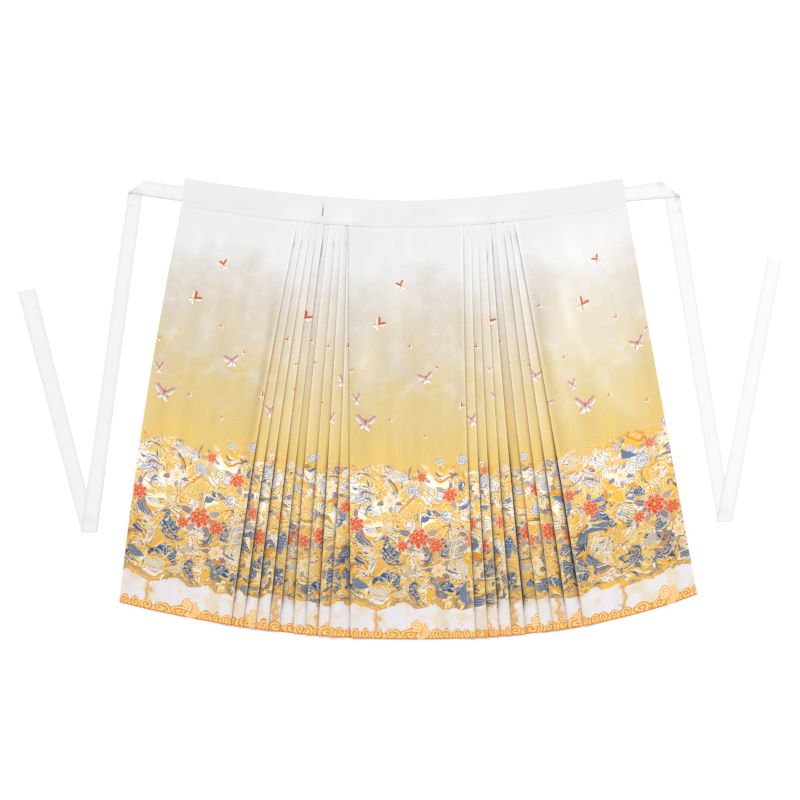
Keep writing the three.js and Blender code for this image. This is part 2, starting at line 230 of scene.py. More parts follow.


# How the columns of a strip are spread from the fold that covers it to its own fold,
# how dark the painted contact shadow is at each, and the painted highlight along the fold's edge
ACROSS_STRIP = np.array([0, 0.05, 0.13, 0.27, 0.45, 0.62, 0.78, 0.9, 0.96, 1])
SHADOW_FALL = np.array([1, 0.75, 0.42, 0.16, 0.05, 0, 0, 0, 0, 0])
EDGE_LIGHT = np.array([0, 0, 0, 0, 0, 0, 0.12, 0.4, 0.75, 1])
NEAR_FOLD = np.array([6, 3.5, 1.5, 0])  # the panel's last columns before its fold
EVEN_END = 9  # where its evenly spread columns end before the fold
BACK_LAYER = np.array([0, 0.12, 0.35, 0.7, 1])
PANEL_COLUMNS = 52
HIDDEN_PANEL_COLUMNS = 14
ROWS = np.concatenate([[-SEAM_TUCK / SKIRT_LENGTH, 0, 0.004, 0.01, 0.02], np.linspace(0.03, 1, 136)])


def gaping(name, share):
    """How far a fold gapes at a share of the length."""
    return sum(
        much * np.exp(-(((share - at) / half) ** 2)) for line, at, half, much in GAPES if line == name
    )


def fold_dark(name, share):
    """How dark the painted contact shadow under a fold is at a share of the length, less than nothing
    where the fold is pressed flat and painted light goes on its edge."""
    top, middle, low = LINES[name][3:]
    at = [0, 0.02, 0.045, 0.1, 0.2, 0.33, 0.5, 0.6, 0.92, 0.95]
    dark = [-1.4, -1.1, top * 0.2, top * 0.8, top * 0.9, middle, middle, low * 1.5, low * 1.5, low * 0.4]
    return np.interp(share, at, dark) + gaping(name, share)


def strip_gleam(name, share):
    """Painted light across the strip under a fold, on the white, beige and gold part of its length."""
    along = np.interp(share, [0.05, 0.15, 0.5, 0.62], [0, 1, 1, 0])
    return STRIP_GLEAMS[name] * along * np.interp(ACROSS_STRIP, [0.15, 0.45], [0, 1])


def roll_height(name, share, settings):
    """How high the edge of a fold stands off its own layer: pressed down flat at the stitched
    top, and freer toward the hem."""
    index = list(LINES).index(name)
    uneven = 0.75 + 0.35 * np.sin(5.1 * share + 2.4 * index) + 0.15 * np.sin(13 * share + 1.7 * index)
    free = np.interp(share, [0.02, 0.06, 0.3, 0.5, 0.65, 1], [0, 0.1, 0.2, 0.25, 0.5, 0.7])
    opened = uneven * free + 2 * gaping(name, share)
    return settings.fold_roll / MM * opened - PRESSED * (1 - 0.8 * free)


def rolled(x, fold, reach, height):
    """Rise of the cloth from a reach before its fold to the fold."""
    return height * np.clip(1 - (fold - x) / reach, 0, 1) ** 2


def bank_path(names, side, share, edge, columns, settings):
    """Points (x, z, strip, painted shade) along the cloth from the panel's edge to the last hidden turn;
    the shade is less than nothing where light is painted.
    """
    folds, turns = bank = bank_at(names, side, share)
    rolls = [roll_height(name, share, settings) for name in names]
    path = []

    def lay(x, z, strip, shadow):
        x = np.atleast_1d(x)
        path.append(np.stack(np.broadcast_arrays(x, z, strip, shadow), axis=1))

    x = np.concatenate([np.linspace(edge, folds[0] - EVEN_END, columns), folds[0] - NEAR_FOLD])
    # Painted highlight on the panel's last columns, up to the edge of its fold
    light = -np.concatenate([np.zeros(columns), EDGE_LIGHT[-len(NEAR_FOLD):]])
    lay(x, strip_height(bank, -1, x) + rolled(x, folds[0], FOLD_REACH, rolls[0]), -1, light)
    for k, name in enumerate(names):
        reach = FOLD_REACH if k == 0 else min(FOLD_REACH, 0.5 * (folds[k] - folds[k - 1]))
        back = folds[k] - (folds[k] - turns[k]) * BACK_LAYER
        back_z = strip_height(bank, k, back) + LAYER + rolled(back, folds[k], reach, BACK_ROLL * rolls[k])
        over = path[-1][-1, 1]
        angle = np.linspace(np.pi / 2, -np.pi / 2, 5)[1:-1]
        half = (over - back_z[0]) / 2
        round_x = folds[k] + min(half, FOLD_BULGE) * np.cos(angle)
        # Painted highlight on the outer round of the fold, full painted shade where it turns under
        lay(round_x, over - half + half * np.sin(angle), k - 1, [-0.8, 0, 1])
        # The hidden layers under a fold carry full painted shade, which shows from below as well
        lay(back, back_z, k - 1 + BACK_LAYER, 1)
        foot = strip_height(bank, k, turns[k])
        angle = np.linspace(np.pi / 2, 1.5 * np.pi, 4)[1:-1]
        lay(turns[k] + LAYER / 2 * np.cos(angle), foot + LAYER / 2 + LAYER / 2 * np.sin(angle), k, 1)
        lay(turns[k], foot, k, 1)
        if k + 1 < len(names):
            lay((turns[k] + folds[k]) / 2, strip_height(bank, k, (turns[k] + folds[k]) / 2), k, 1)
            wide = folds[k + 1] - folds[k]
            x = folds[k] + wide * ACROSS_STRIP
            lift = rolled(x, folds[k + 1], min(FOLD_REACH, 0.5 * wide), rolls[k + 1])
            # Painted contact shadow beside the covering fold, painted highlight near the strip's own fold,
            # and its painted gleam
            light = EDGE_LIGHT + strip_gleam(name, share)
            lay(x, strip_height(bank, k, x) + lift, k, fold_dark(name, share) * SHADOW_FALL - light)
    return np.concatenate(path)


def width_path(group, share, edges, columns, base, settings):
    """Points along one width from edge to edge: its two banks of pleats and the middle strip."""
    first = bank_path(group[0], 1, share, edges[0], columns[0], settings)
    second = bank_path(group[1], -1, share, -edges[1], columns[1], settings)[::-1]
    strips = len(group[0]) + len(group[1]) - 1
    second[:, 0] *= -1
    second[:, 2] = strips - 1 - second[:, 2]
    covers = [line_x(group[0][-1], share), line_x(group[1][-1], share)]
    x = covers[0] + (covers[1] - covers[0]) * ACROSS_STRIP
    # Painted contact shadow on the middle strip, from the folds on both its sides
    shadow = np.maximum(
        fold_dark(group[0][-1], share) * SHADOW_FALL, fold_dark(group[1][-1], share) * SHADOW_FALL[::-1]
    )
    ones = np.ones(len(x))
    middle = np.stack([x, ones * CLOTH / 2, ones * (len(group[0]) - 1), shadow], axis=1)
    path = np.concatenate([first, middle, second])
    lift = LAYER * np.clip(1 - share / BAND_REST_SHARE, 0, 1)
    path[:, 1] += lift + (base(path[:, 0], share) if base else 0)
    return path


def strip_hem(names, k, x):
    """Height of the hem on strip k, cut square to that strip's own run."""
    low = int(np.clip(k, 0, len(names) - 2))
    a, b = LINES[names[low]], LINES[names[low + 1]]
    centre = (a[1] + b[1]) / 2
    lean = ((a[0] + b[0]) / 2 - centre) / SKIRT_LENGTH
    return hem_y(centre) - lean * (x - centre)


def hem_at(group, strip, x):
    """Height of the hem at each point of the path, blended between strips in the turns."""
    names = group[0] + group[1][::-1]
    strips = len(names) - 1
    result = np.empty(len(x))
    for i, (k, at) in enumerate(zip(strip, x)):
        ends = [
            hem_y(at) if j < 0 or j >= strips else strip_hem(names, j, at)
            for j in (np.floor(k), np.floor(k) + 1)
        ]
        result[i] = ends[0] + (ends[1] - ends[0]) * (k - np.floor(k))
    return result


def width_points(group, edges_at, columns, base, shown, settings):
    """Rows of points of one width, with each point's place on the flat cut and its painted shade and light.
    """
    paths = np.array(
        [width_path(group, share, edges_at(share), columns, base, settings) for share in ROWS]
    )
    strips = len(group[0]) + len(group[1]) - 1
    seam = top_y(paths[1, :, 0]) - BAND_HEIGHT
    hem = hem_at(group, paths[-1, :, 2], paths[-1, :, 0])
    if not shown[1]:
        hem = hem + UNDER_PANEL_SHORTER * (paths[-1, :, 2] >= strips)
    y = seam + (hem - seam) * ROWS[:, None]
    y[0] = seam + SEAM_TUCK
    x, z, strip = paths[:, :, 0], paths[:, :, 1], paths[:, :, 2]
    across = np.hypot(np.diff(x, axis=1), np.diff(z, axis=1))
    along = np.hypot(np.diff(x, axis=0), np.diff(y, axis=0))
    u = np.concatenate([np.zeros((len(ROWS), 1)), np.cumsum(across, axis=1)], axis=1)
    v = np.concatenate([np.cumsum(along[::-1], axis=0)[::-1], np.zeros((1, x.shape[1]))])
    panels = ((strip <= -1) & shown[0]) | ((strip >= strips) & shown[1])
    ridges = panels * laid(RIDGES, x, y) * settings.ridge_height
    z = z + (ridges + panels * slight_waves(x, y)) * np.clip((seam - y) / RIDGE_START, 0, 1)
    # Painted light just under the seam and on the ridges and gleams, put into the painted shade value
    at_seam = SEAM_LIGHT * np.exp(-((ROWS[:, None] * SKIRT_LENGTH / SEAM_GLOW) ** 2))
    shadow = paths[:, :, 3] - RIDGE_GLOW * ridges - panels * laid(GLEAMS, x, y) - at_seam
    return np.stack([x, y, z], axis=2) * MM, np.stack([u, v], axis=2), shadow


def laid(lines, x, y):
    """Height of the ridges, or strength of the painted gleams and shades, laid on the flat panels."""
    height = np.zeros(x.shape)
    for x0, y0, x1, y1, half, high in lines:
        run = np.array([x1 - x0, y1 - y0])
        long = np.hypot(*run)
        t = ((x - x0) * run[0] + (y - y0) * run[1]) / long**2
        off = ((x - x0) * run[1] - (y - y0) * run[0]) / long
        off = off + RIDGE_WANDER * np.sin(7 * t + x0)
        fade = np.sin(np.pi * np.clip(t, 0, 1)) ** 0.7
        height += high * fade * np.exp(-((off / half) ** 2))
    return height


def slight_waves(x, y):
    """Height of the slight unevenness of satin that lies on a table."""
    uneven = (
        np.sin(x / 31 + np.sin(y / 83)) * np.sin(y / 97 + 1.3 * np.sin(x / 61))
        + 0.5 * np.sin(x / 13.7 + y / 71) * np.sin(y / 43)
    )
    return SLIGHT_WAVE * (1.5 + uneven)


def new_piece(name, mesh, material):
    mesh.materials.append(material)
    piece = bpy.data.objects.new(name, mesh)
    bpy.context.scene.collection.objects.link(piece)
    return piece


def cloth_mesh(name, points, cut, shadow, material, opened=None):
    """One sheet of cloth from rows of points; opened marks the faces that a slit leaves out."""
    rows, columns = points.shape[:2]
    index = np.arange(rows * columns).reshape(rows, columns)
    quads = np.stack([index[:-1, :-1], index[1:, :-1], index[1:, 1:], index[:-1, 1:]], axis=2)
    quads = quads.reshape(-1, 4)
    if opened is not None:
        quads = quads[~opened.ravel()]
    mesh = bpy.data.meshes.new(name)
    mesh.from_pydata(points.reshape(-1, 3), [], quads)
    flat = cut.reshape(-1, 2)
    layer = mesh.uv_layers.new(name="cut")
    layer.data.foreach_set("uv", (flat[quads] * MM).astype(np.float32).ravel())
    # The painted shade, or painted light where less than nothing, on each point of the sheet
    attribute = mesh.attributes.new("shadow", "FLOAT", "POINT")
    attribute.data.foreach_set("value", shadow.astype(np.float32).ravel())
    return new_piece(name, mesh, material), flat[quads]


def finish_cloth(piece, thickness):
    """Gives a sheet its thickness, smooth faces and its place on the frame."""
    bpy.ops.object.select_all(action="DESELECT")
    piece.select_set(True)
    bpy.context.view_layer.objects.active = piece
    wall = piece.modifiers.new("wall", "SOLIDIFY")
    wall.thickness = thickness
    wall.offset = 0
    bpy.ops.object.modifier_apply(modifier=wall.name)
    bpy.ops.object.shade_smooth_by_angle(angle=np.radians(50))
    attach(piece, "root")


def linear(code):
    """The linear colour of an sRGB hex value."""
    values = [int(code[i : i + 2], 16) / 255 for i in (1, 3, 5)]
    return tuple(c / 12.92 if c <= 0.04045 else ((c + 0.055) / 1.055) ** 2.4 for c in values)


def rgba(code):
    return (*linear(code), 1)


def put(tree, kind, *inputs, out=0, stops=None, hard=False, **named):
    """Adds a node, sets or links its inputs, and gives back one of its outputs.

    A colon parts a kind from its operation. Inputs go to the sockets in order, and a mix of
    three is one of colours. Names with a capital are sockets too, and the others are settings.
    Stops are the places and colours of a ramp, with hard steps or blended.
    """
    kind, _, operation = kind.partition(":")
    node = tree.nodes.new("ShaderNode" + kind)
    sockets = list(node.inputs)
    if kind == "Mix" and len(inputs) == 3:
        node.data_type = "RGBA"
        node.blend_type = operation or "MIX"
        sockets = [node.inputs[i] for i in (0, 6, 7)]
        out = 2
    elif operation:
        node.operation = operation
    given = list(zip(sockets, inputs))
    for name, value in named.items():
        if name[0].isupper():
            given.append((node.inputs[name], value))
        else:
            setattr(node, name, value)
    for socket, value in given:
        if isinstance(value, bpy.types.NodeSocket):
            tree.links.new(value, socket)
        else:
            socket.default_value = rgba(value) if isinstance(value, str) else value
    if stops:
        ramp = node.color_ramp
        ramp.interpolation = "CONSTANT" if hard else "LINEAR"
        while len(ramp.elements) > 1:
            ramp.elements.remove(ramp.elements[-1])
        for i, (place, code) in enumerate(stops.items()):
            stop = ramp.elements[0] if i == 0 else ramp.elements.new(place)
            stop.position = place
            stop.color = rgba(code)
    return node.outputs[out]


def new_material(name):
    """A material, what adds a node to it, and its shader."""
    material = bpy.data.materials.new(name)
    material.use_nodes = True
    tree = material.node_tree
    return material, partial(put, tree), tree.nodes["Principled BSDF"]


def finish_satin(material, shader, colour, roughness):
    """Gives satin its colour and its soft gloss."""
    material.node_tree.links.new(colour, shader.inputs["Base Color"])
    shader.inputs["Roughness"].default_value = roughness
    shader.inputs["IOR"].default_value = 1.5
    shader.inputs["Sheen Weight"].default_value = 0.2


def white_satin(settings, name, ribbon=False):
    """Polyester satin, woven and calendered: white, softly glossy, a little darker and firmer
    along the edges of a ribbon, where the threads turn back."""
    material, add, shader = new_material(name)
    place = add("TexCoord", out="Object")
    mottled = add("TexNoise", place, Scale=24.0, Detail=3.0)
    dull = (*(c * 0.965 for c in settings.white), 1)
    colour = add("Mix", mottled, dull, (*settings.white, 1))
    if ribbon:
        colour = add("Mix", 0.3, colour, "#FFFFFF")
        across = add("SeparateXYZ", add("UVMap", uv_map="cut"))
        from_middle = add("Math:ABSOLUTE", add("Math:SUBTRACT", across, RIBBON_WIDE / 2 * MM))
        share = add("Math:MULTIPLY", from_middle, 60.0)  # near 1 at the ribbon's edge
        woven = add("ValToRGB", share, stops={
            0.6: "#FFFFFF", 0.7: "#F9F9F9", 0.8: "#FDFDFD", 0.9: "#F6F6F6"})
        colour = add("Mix:MULTIPLY", 1.0, colour, woven)
    # Painted shade from the sheet's shadow value: in the slit, its dimple and the ties' pinches
    shadow = add("Attribute", attribute_name="shadow", out=2)
    colour = add("Mix:MULTIPLY", shadow, colour, "#77777A")
    finish_satin(material, shader, colour, 0.5)
    crumple = add("TexNoise", place, Scale=50.0, Detail=2.0)
    bump = add("Bump", Strength=0.2, Distance=0.001, Height=crumple)
    material.node_tree.links.new(bump, shader.inputs["Normal"])
    return material


# Colours of a printed scroll by tint: body, light between the lines, lines, rim
TINTS = (
    ("#4C6896", "#BCC7D9", "#24386B", "#2B3F77"),
    ("#F2DCA4", "#FFFBEE", "#4A4E68", "#DF9E32"),
    ("#F7C344", "#FFF0BE", "#D08A20", "#E8961C"),
    ("#C2BEC9", "#F8F7FA", "#66708F", "#DCA640"),
    ("#F4BE5E", "#FFF2D6", "#E8880E", "#EC8E12"),
)
LEAF_FILLS = {0: "#5F7DA8", 0.333: "#E2B347", 0.667: "#3C5488"}
LEAF_LIGHTS = {0: "#C4D0E0", 0.333: "#F8E6AE", 0.667: "#94A8C8"}
# Rounds of petals, from the outer one: half the count, turn, least radius and swing
PETALS = ((3.5, 0.0, 0.66, 0.32), (3.0, 0.9, 0.42, 0.27), (2.5, 0.3, 0.2, 0.2))
# Upper wing, lower wing and body of a butterfly, in half spans: middle, turn, half sizes
BUTTERFLY_PARTS = (
    ((0.5, 0.32, 0), 36, (0.62, 0.32, 1)),
    ((0.27, -0.3, 0), -46, (0.4, 0.24, 1)),
    ((0, 0, 0), 90, (0.42, 0.05, 1)),
)
# Colours from the tail end of a wing to its leading edge
ORANGE_WING = {
    0: "#FFFFFF", 0.3: "#FFF8EC", 0.42: "#F4C48E", 0.52: "#E07A38", 0.72: "#C94620", 1: "#D9603A",
}
GREY_WING = {
    0: "#FFFFFF", 0.24: "#E0DAE2", 0.38: "#B4AABA", 0.5: "#F2BC84", 0.68: "#DA6434",
    0.86: "#B9A9B8", 1: "#F4EFF2",
}


def motif_group(name, draw):
    """A node group for one kind of motif, which gives its colour and where it covers."""
    group = bpy.data.node_groups.new(name, "ShaderNodeTree")
    for socket, kind in {"Place": "Vector", "Radius": "Float", "Wobble": "Vector", "Fine": "Float"}.items():
        group.interface.new_socket(socket, in_out="INPUT", socket_type=f"NodeSocket{kind}")
    for socket, kind in {"Colour": "Color", "Cover": "Float"}.items():
        group.interface.new_socket(socket, in_out="OUTPUT", socket_type=f"NodeSocket{kind}")
    entry = group.nodes.new("NodeGroupInput").outputs
    leave = group.nodes.new("NodeGroupOutput").inputs
    for made, socket in zip(draw(partial(put, group), entry), leave):
        group.links.new(made, socket)
    return group


def unsteady(add, entry, wobble):
    """Across, along, distance and turn round the middle of a motif, as an unsteady hand draws
    it, and the motif's tint."""
    shift = add("VectorMath:MULTIPLY", entry["Wobble"], (wobble, wobble, 0))
    x, y, _ = add("SeparateXYZ", add("VectorMath:ADD", entry["Place"], shift)).node.outputs
    r = add("VectorMath:LENGTH", add("CombineXYZ", x, y, 0.0), out="Value")
    turn = add("Math:ARCTAN2", y, x)
    return SimpleNamespace(x=x, y=y, r=r, turn=turn, tint=add("SeparateXYZ", entry["Place"], out="Z"))


def by_tint(add, tint, part):
    """The colour of one part of a scroll for each tint, as one ramp with hard steps."""
    steps = {0.2 * i: colours[part] for i, colours in enumerate(TINTS)}
    return add("ValToRGB", add("Math:MULTIPLY_ADD", tint, 0.2, 0.1), stops=steps, hard=True)


def inked(add, tint, phase, thin):
    """Hand-drawn lines with a light to dark wash between them; phase runs 0 to 1 per line."""
    lift = add("ValToRGB", phase, stops={0: "#202020", 0.3: "#FFFFFF", 0.65: "#505050", 1: "#000000"})
    body = add("Mix", lift, by_tint(add, tint, 0), by_tint(add, tint, 1))
    return add("Mix", add("Math:LESS_THAN", phase, thin), body, by_tint(add, tint, 2))


def lobes(add, turn, half_count, phase, least, swing):
    """The radius of a lobed outline at each turn."""
    angle = add("Math:MULTIPLY_ADD", turn, half_count, phase)
    return add("Math:MULTIPLY_ADD", add("Math:ABSOLUTE", add("Math:COSINE", angle)), swing, least)


def curl(line_spacing, add, entry):
    """A scrolled cloud or wave head: fine spiral lines in a lobed, hand-drawn outline."""
    at = unsteady(add, entry, 0.5)
    edge = lobes(add, at.turn, 2.5, 1.0, 0.76, 0.2)
    rings = add("Math:MULTIPLY", at.r, add("Math:MULTIPLY", entry["Radius"], MM / line_spacing))
    phase = add("Math:FRACT", add("Math:MULTIPLY_ADD", at.turn, 1 / np.pi, rings))
    lined = inked(add, at.tint, phase, add("Math:MULTIPLY", entry["Fine"], 0.3))
    at_rim = add("Math:GREATER_THAN", at.r, add("Math:SUBTRACT", edge, 0.05))
    return add("Mix", at_rim, lined, by_tint(add, at.tint, 3)), add("Math:LESS_THAN", at.r, edge)


def wave(add, entry):
    """A bent brush-like stroke of water or cloud, its lines running together at both tips."""
    at = unsteady(add, entry, 0.35)
    square = add("Math:MULTIPLY", at.x, at.x)
    across = add("Math:ADD", add("Math:MULTIPLY_ADD", square, -0.55, at.y), 0.22)
    arch = add("Math:MULTIPLY_ADD", square, -0.36, 0.36)
    half = add("Math:MULTIPLY", add("Math:MULTIPLY_ADD", at.x, 0.5, 1.0), arch)
    share = add("Math:DIVIDE", across, half)
    inside = add("Math:LESS_THAN", add("Math:ABSOLUTE", share), 1.0)
    cover = add("Math:MULTIPLY", inside, add("Math:GREATER_THAN", half, 0.0))
    strand = add("Math:MULTIPLY_ADD", at.x, 0.45, add("Math:MULTIPLY_ADD", share, 2.6, 0.4))
    thin = add("Math:MULTIPLY", entry["Fine"], 0.4)
    return inked(add, at.tint, add("Math:FRACT", strand), thin), cover


def leaf(add, entry):
    """A pointed leaf with a midrib and slanting veins."""
    at = unsteady(add, entry, 0.12)
    half = add("Math:MULTIPLY_ADD", add("Math:MULTIPLY", at.x, at.x), -0.42, 0.42)
    across = add("Math:ABSOLUTE", at.y)
    slant = add("Math:MULTIPLY_ADD", across, -1.3, at.x)
    veins = add("Math:FRACT", add("Math:MULTIPLY", slant, 3.5))
    shade = add("Math:MULTIPLY_ADD", at.tint, 1 / 3, 1 / 6)
    fill = add("ValToRGB", shade, stops=LEAF_FILLS, hard=True)
    light = add("ValToRGB", shade, stops=LEAF_LIGHTS, hard=True)
    rib = add("Math:LESS_THAN", across, 0.05)
    edge = add("Math:GREATER_THAN", across, add("Math:SUBTRACT", half, 0.07))
    drawn = add("Math:MAXIMUM", rib, edge)
    return add("Mix", drawn, add("Mix", veins, fill, light), "#DB9526"), add("Math:LESS_THAN", across, half)


def peony(add, entry):
    """Three rounds of petals, pale at their rims, about a gold middle."""
    at = unsteady(add, entry, 0.35)
    pale = add("Math:GREATER_THAN", at.tint, 0.5)
    colour, cover = None, None
    for outline in PETALS:
        out = add("Math:DIVIDE", at.r, lobes(add, at.turn, *outline))
        inside = add("Math:LESS_THAN", out, 1.0)
        coral = add("ValToRGB", out, stops={
            0.3: "#C82C12", 0.66: "#E43E1E", 0.86: "#EC7246", 0.95: "#F9D6AE", 1: "#EC8238"})
        cream = add("ValToRGB", out, stops={
            0.3: "#E9A25E", 0.62: "#F6D9A4", 0.84: "#FDF3DE", 0.94: "#FFFFFF", 1: "#D9A040"})
        petal = add("Mix", pale, coral, cream)
        if colour is None:
            colour, cover = petal, inside
        else:
            colour = add("Mix", inside, colour, petal)
    return add("Mix", add("Math:LESS_THAN", at.r, 0.13), colour, "#F4C648"), cover


def butterfly(add, entry):
    """Two pairs of wings, strong along their leading edge and pale behind it, and a thin body."""
    at = unsteady(add, entry, 0.4)
    mirrored = add("CombineXYZ", add("Math:ABSOLUTE", at.x), at.y, 0.0)
    reach, lead = [], []
    for middle, turn, size in BUTTERFLY_PARTS:
        local = add("Mapping", mirrored, vector_type="TEXTURE",
                    Location=middle, Rotation=(0, 0, np.radians(turn)), Scale=size)
        reach.append(add("VectorMath:LENGTH", local, out="Value"))
        lead.append(add("SeparateXYZ", local, out="Y"))
    lower = add("Math:LESS_THAN", reach[1], reach[0])
    forward = add("Math:MULTIPLY_ADD", add("Mix", lower, A=lead[0], B=lead[1]), 0.5, 0.5)
    forward = add("Math:MULTIPLY_ADD", lower, -0.28, forward)
    orange = add("ValToRGB", forward, stops=ORANGE_WING)
    grey = add("ValToRGB", forward, stops=GREY_WING)
    colour = add("Mix", add("Math:GREATER_THAN", at.tint, 2.5), orange, grey)
    colour = add("Mix", add("Math:LESS_THAN", reach[2], 1.0), colour, "#8A4A26")
    any_part = add("Math:MINIMUM", add("Math:MINIMUM", reach[0], reach[1]), reach[2])
    return colour, add("Math:LESS_THAN", any_part, 1.0)


# Colours across one flowing line of the dense print, and across the brush lines at its foot
GOLD_LINES = {
    0: "#8E6224", 0.08: "#E39F26", 0.24: "#F4CC5E", 0.44: "#FDF2D0", 0.58: "#F5D476",
    0.78: "#F0BA3E", 0.92: "#FBEAB4", 1: "#8E6224",
}
BLUE_LINES = {
    0: "#24386B", 0.12: "#35508A", 0.3: "#7E98BE", 0.5: "#E9EEF5", 0.62: "#6D89B4",
    0.85: "#41609A", 1: "#24386B",
}
PALE_LINES = {
    0: "#4D5470", 0.08: "#A9A9BC", 0.24: "#F8EFD8", 0.55: "#FFFFFF", 0.8: "#DAD6DF",
    0.94: "#F1D79A", 1: "#4D5470",
}
FOOT_LINES = {
    0: "#9A7444", 0.08: "#C2914A", 0.24: "#E9C67A", 0.4: "#F3C24E", 0.52: "#E2A848",
    0.66: "#C9A878", 0.8: "#B7A48E", 0.92: "#E0BE84", 1: "#9A7444",
}
SCROLL_LINES = {
    0: "#DA7E08", 0.24: "#E48E14", 0.31: "#FCEBC4", 0.5: "#F0CC7C", 0.8: "#EAB444",
    0.95: "#E4941E", 1: "#DA7E08",
}
# Brush dabs, from the lowest: where their noise is read, its scale, its least value, colour
DABS = (
    (0, 0.04, 0.61, "#F8C03A"), (300, 0.045, 0.64, "#FFF6DE"), (600, 0.045, 0.65, "#6A7B9C"),
    (900, 0.06, 0.645, "#E59A2C"), (1200, 0.07, 0.65, "#FDE9B4"), (1500, 0.045, 0.665, "#A8783A"),
)
HEM_CELL = 29.2  # one scroll of the hem's border
STROKE_EVERY = 233.5  # from one pale gold stroke of the sheer band to the next, half a repeat


def print_measures(add):
    """What every layer of the print reads on the flat cut: u across it and v up from the hem in
    millimetres, the hand's unsteadiness, clouds of several sizes and the dense print's ends."""
    place = add("VectorMath:MULTIPLY", add("UVMap", uv_map="cut"), (1000, 1000, 0))
    u, v, _ = add("SeparateXYZ", place).node.outputs
    hand = add("TexNoise", place, out="Color", Scale=0.055, Detail=1.0)
    wobble = add("VectorMath:ADD", hand, (-0.5, -0.5, 0))
    sideways, upward, _ = add("SeparateXYZ", wobble).node.outputs
    wide = add("TexNoise", place, Scale=0.009, Detail=2.0)
    cloud = add("TexNoise", place, Scale=0.022, Detail=4.0, Roughness=0.6)
    drift = add("Math:MULTIPLY_ADD", wide, 150.0, -75.0)
    uneven = add("Math:ADD", drift, add("Math:MULTIPLY_ADD", cloud, 110.0, -55.0))
    top = add("Math:MULTIPLY_ADD", add("Math:MULTIPLY_ADD", wide, 0.4, cloud), 110.0, 326.0)
    under_top = add("Math:MULTIPLY", add("Math:SUBTRACT", top, v), 0.01)
    foot = add("Math:MULTIPLY_ADD", add("TexNoise", place, Scale=0.018, Detail=2.0), 64.0, 42.0)
    return SimpleNamespace(
        place=place, u=u, v=v, wobble=wobble, sideways=sideways, upward=upward, cloud=cloud,
        grain=add("TexNoise", place, Scale=0.42, Detail=2.0, Roughness=0.7),
        flow=add("TexNoise", place, Scale=0.012, Detail=2.0, Distortion=2.2),
        region=add("TexNoise", place, Scale=0.016, Detail=2.0),
        high=add("Math:MULTIPLY", add("Math:ADD", v, uneven), 0.001),
        under_top=under_top, dense=add("Math:MULTIPLY", under_top, 7.0, use_clamp=True),
        over_foot=add("Math:SUBTRACT", v, foot),
    )


def faded_ground(add, at, settings):
    """Gold above the dense print, fading up through mottled beige and gold dust to plain white."""
    ground = add("ValToRGB", at.high, stops={
        0.38: "#ECC86A", 0.46: "#E1C57C", 0.57: "#DBC68F", 0.64: "#DBCEB0",
        0.72: "#DAD0C0", 0.78: "#DED8D1", 0.82: "#E3E1E0", 0.86: "#E8E8E8"})
    middle = add("ValToRGB", at.high, stops={
        0.48: "#000000", 0.6: "#A0A0A0", 0.74: "#A0A0A0", 0.84: "#000000"})
    smoke = add("TexNoise", at.place, Scale=0.014, Detail=3.0)
    flecks = add("TexNoise", at.place, Scale=0.05, Detail=4.0, Roughness=0.65)
    dust = add("TexNoise", at.place, Scale=0.13, Detail=3.0)
    dusty = add("ValToRGB", at.high, stops={
        0.3: "#606060", 0.7: "#808080", 0.84: "#606060", 0.9: "#000000"})
    for noise, least, full, where, colour in (
        (at.cloud, 0.5, 0.68, middle, "#F0EDE8"),
        (smoke, 0.44, 0.6, middle, "#D2C8C2"),
        (flecks, 0.53, 0.66, middle, "#E8D084"),
        (dust, 0.54, 0.66, dusty, (*settings.gold, 1)),
    ):
        spots = add("ValToRGB", noise, stops={least: "#000000", full: "#FFFFFF"})
        ground = add("Mix", add("Math:MULTIPLY", spots, where), ground, colour)
    return ground


def flowing_lines(add, at, ground):
    """Flowing lines behind the motifs of the dense print, in gold, blue and cream, under a gold
    rim where the print begins."""
    lines = add("Math:FRACT", add("Math:MULTIPLY", at.flow, 15.0))
    gold, blue, pale = (
        add("ValToRGB", lines, stops=colours) for colours in (GOLD_LINES, BLUE_LINES, PALE_LINES)
    )
    is_blue = add("Math:GREATER_THAN", add("Math:MULTIPLY_ADD", at.v, -0.0007, at.region), 0.43)
    is_pale = add("Math:LESS_THAN", add("Math:MULTIPLY_ADD", at.v, -0.0003, at.region), 0.405)
    lined = add("Mix", is_pale, add("Mix", is_blue, gold, blue), pale)
    rim = add("ValToRGB", at.under_top, stops={
        0: "#000000", 0.05: "#FFFFFF", 0.16: "#D0D0D0", 0.3: "#000000"})
    return add("Mix", at.dense, ground, add("Mix", rim, lined, "#EDB848"))


def foot_of_print(add, at, cloth):
    """Brush lines that end the dense print, and the sheer band with its strokes under them."""
    brushed = add("Math:MULTIPLY_ADD", at.over_foot, 0.035, add("Math:MULTIPLY", at.flow, 5.0))
    brown = add("ValToRGB", add("Math:FRACT", brushed), stops=FOOT_LINES)
    brown = add("Mix", add("Math:LESS_THAN", at.over_foot, 3.0), brown, "#D3983E")
    under = add("Math:SUBTRACT", add("Math:MULTIPLY", at.region, 60.0), at.over_foot)
    cloth = add("Mix", add("Math:GREATER_THAN", under, 8.0), cloth, brown)
    sheer = add("ValToRGB", at.region, stops={
        0.4: "#E5E1E4", 0.5: "#E6E2E2", 0.57: "#E6D5BC", 0.64: "#E5DDD8", 0.74: "#D0CCD6"})
    stroke = add("Math:FRACT", add("Math:MULTIPLY_ADD", at.u, 1 / STROKE_EVERY, 0.243))
    stroke = add("Math:MULTIPLY", add("Math:SUBTRACT", stroke, 0.5), STROKE_EVERY)
    stroke = add("Math:ABSOLUTE", add("Math:MULTIPLY_ADD", at.sideways, 34.0, stroke))
    stroke = add("Math:MULTIPLY_ADD", stroke, -0.13, 1.2, use_clamp=True)
    sheer = add("Mix", stroke, sheer, "#DCA860")
    return add("Mix", add("Math:LESS_THAN", at.over_foot, 0.0), cloth, sheer)


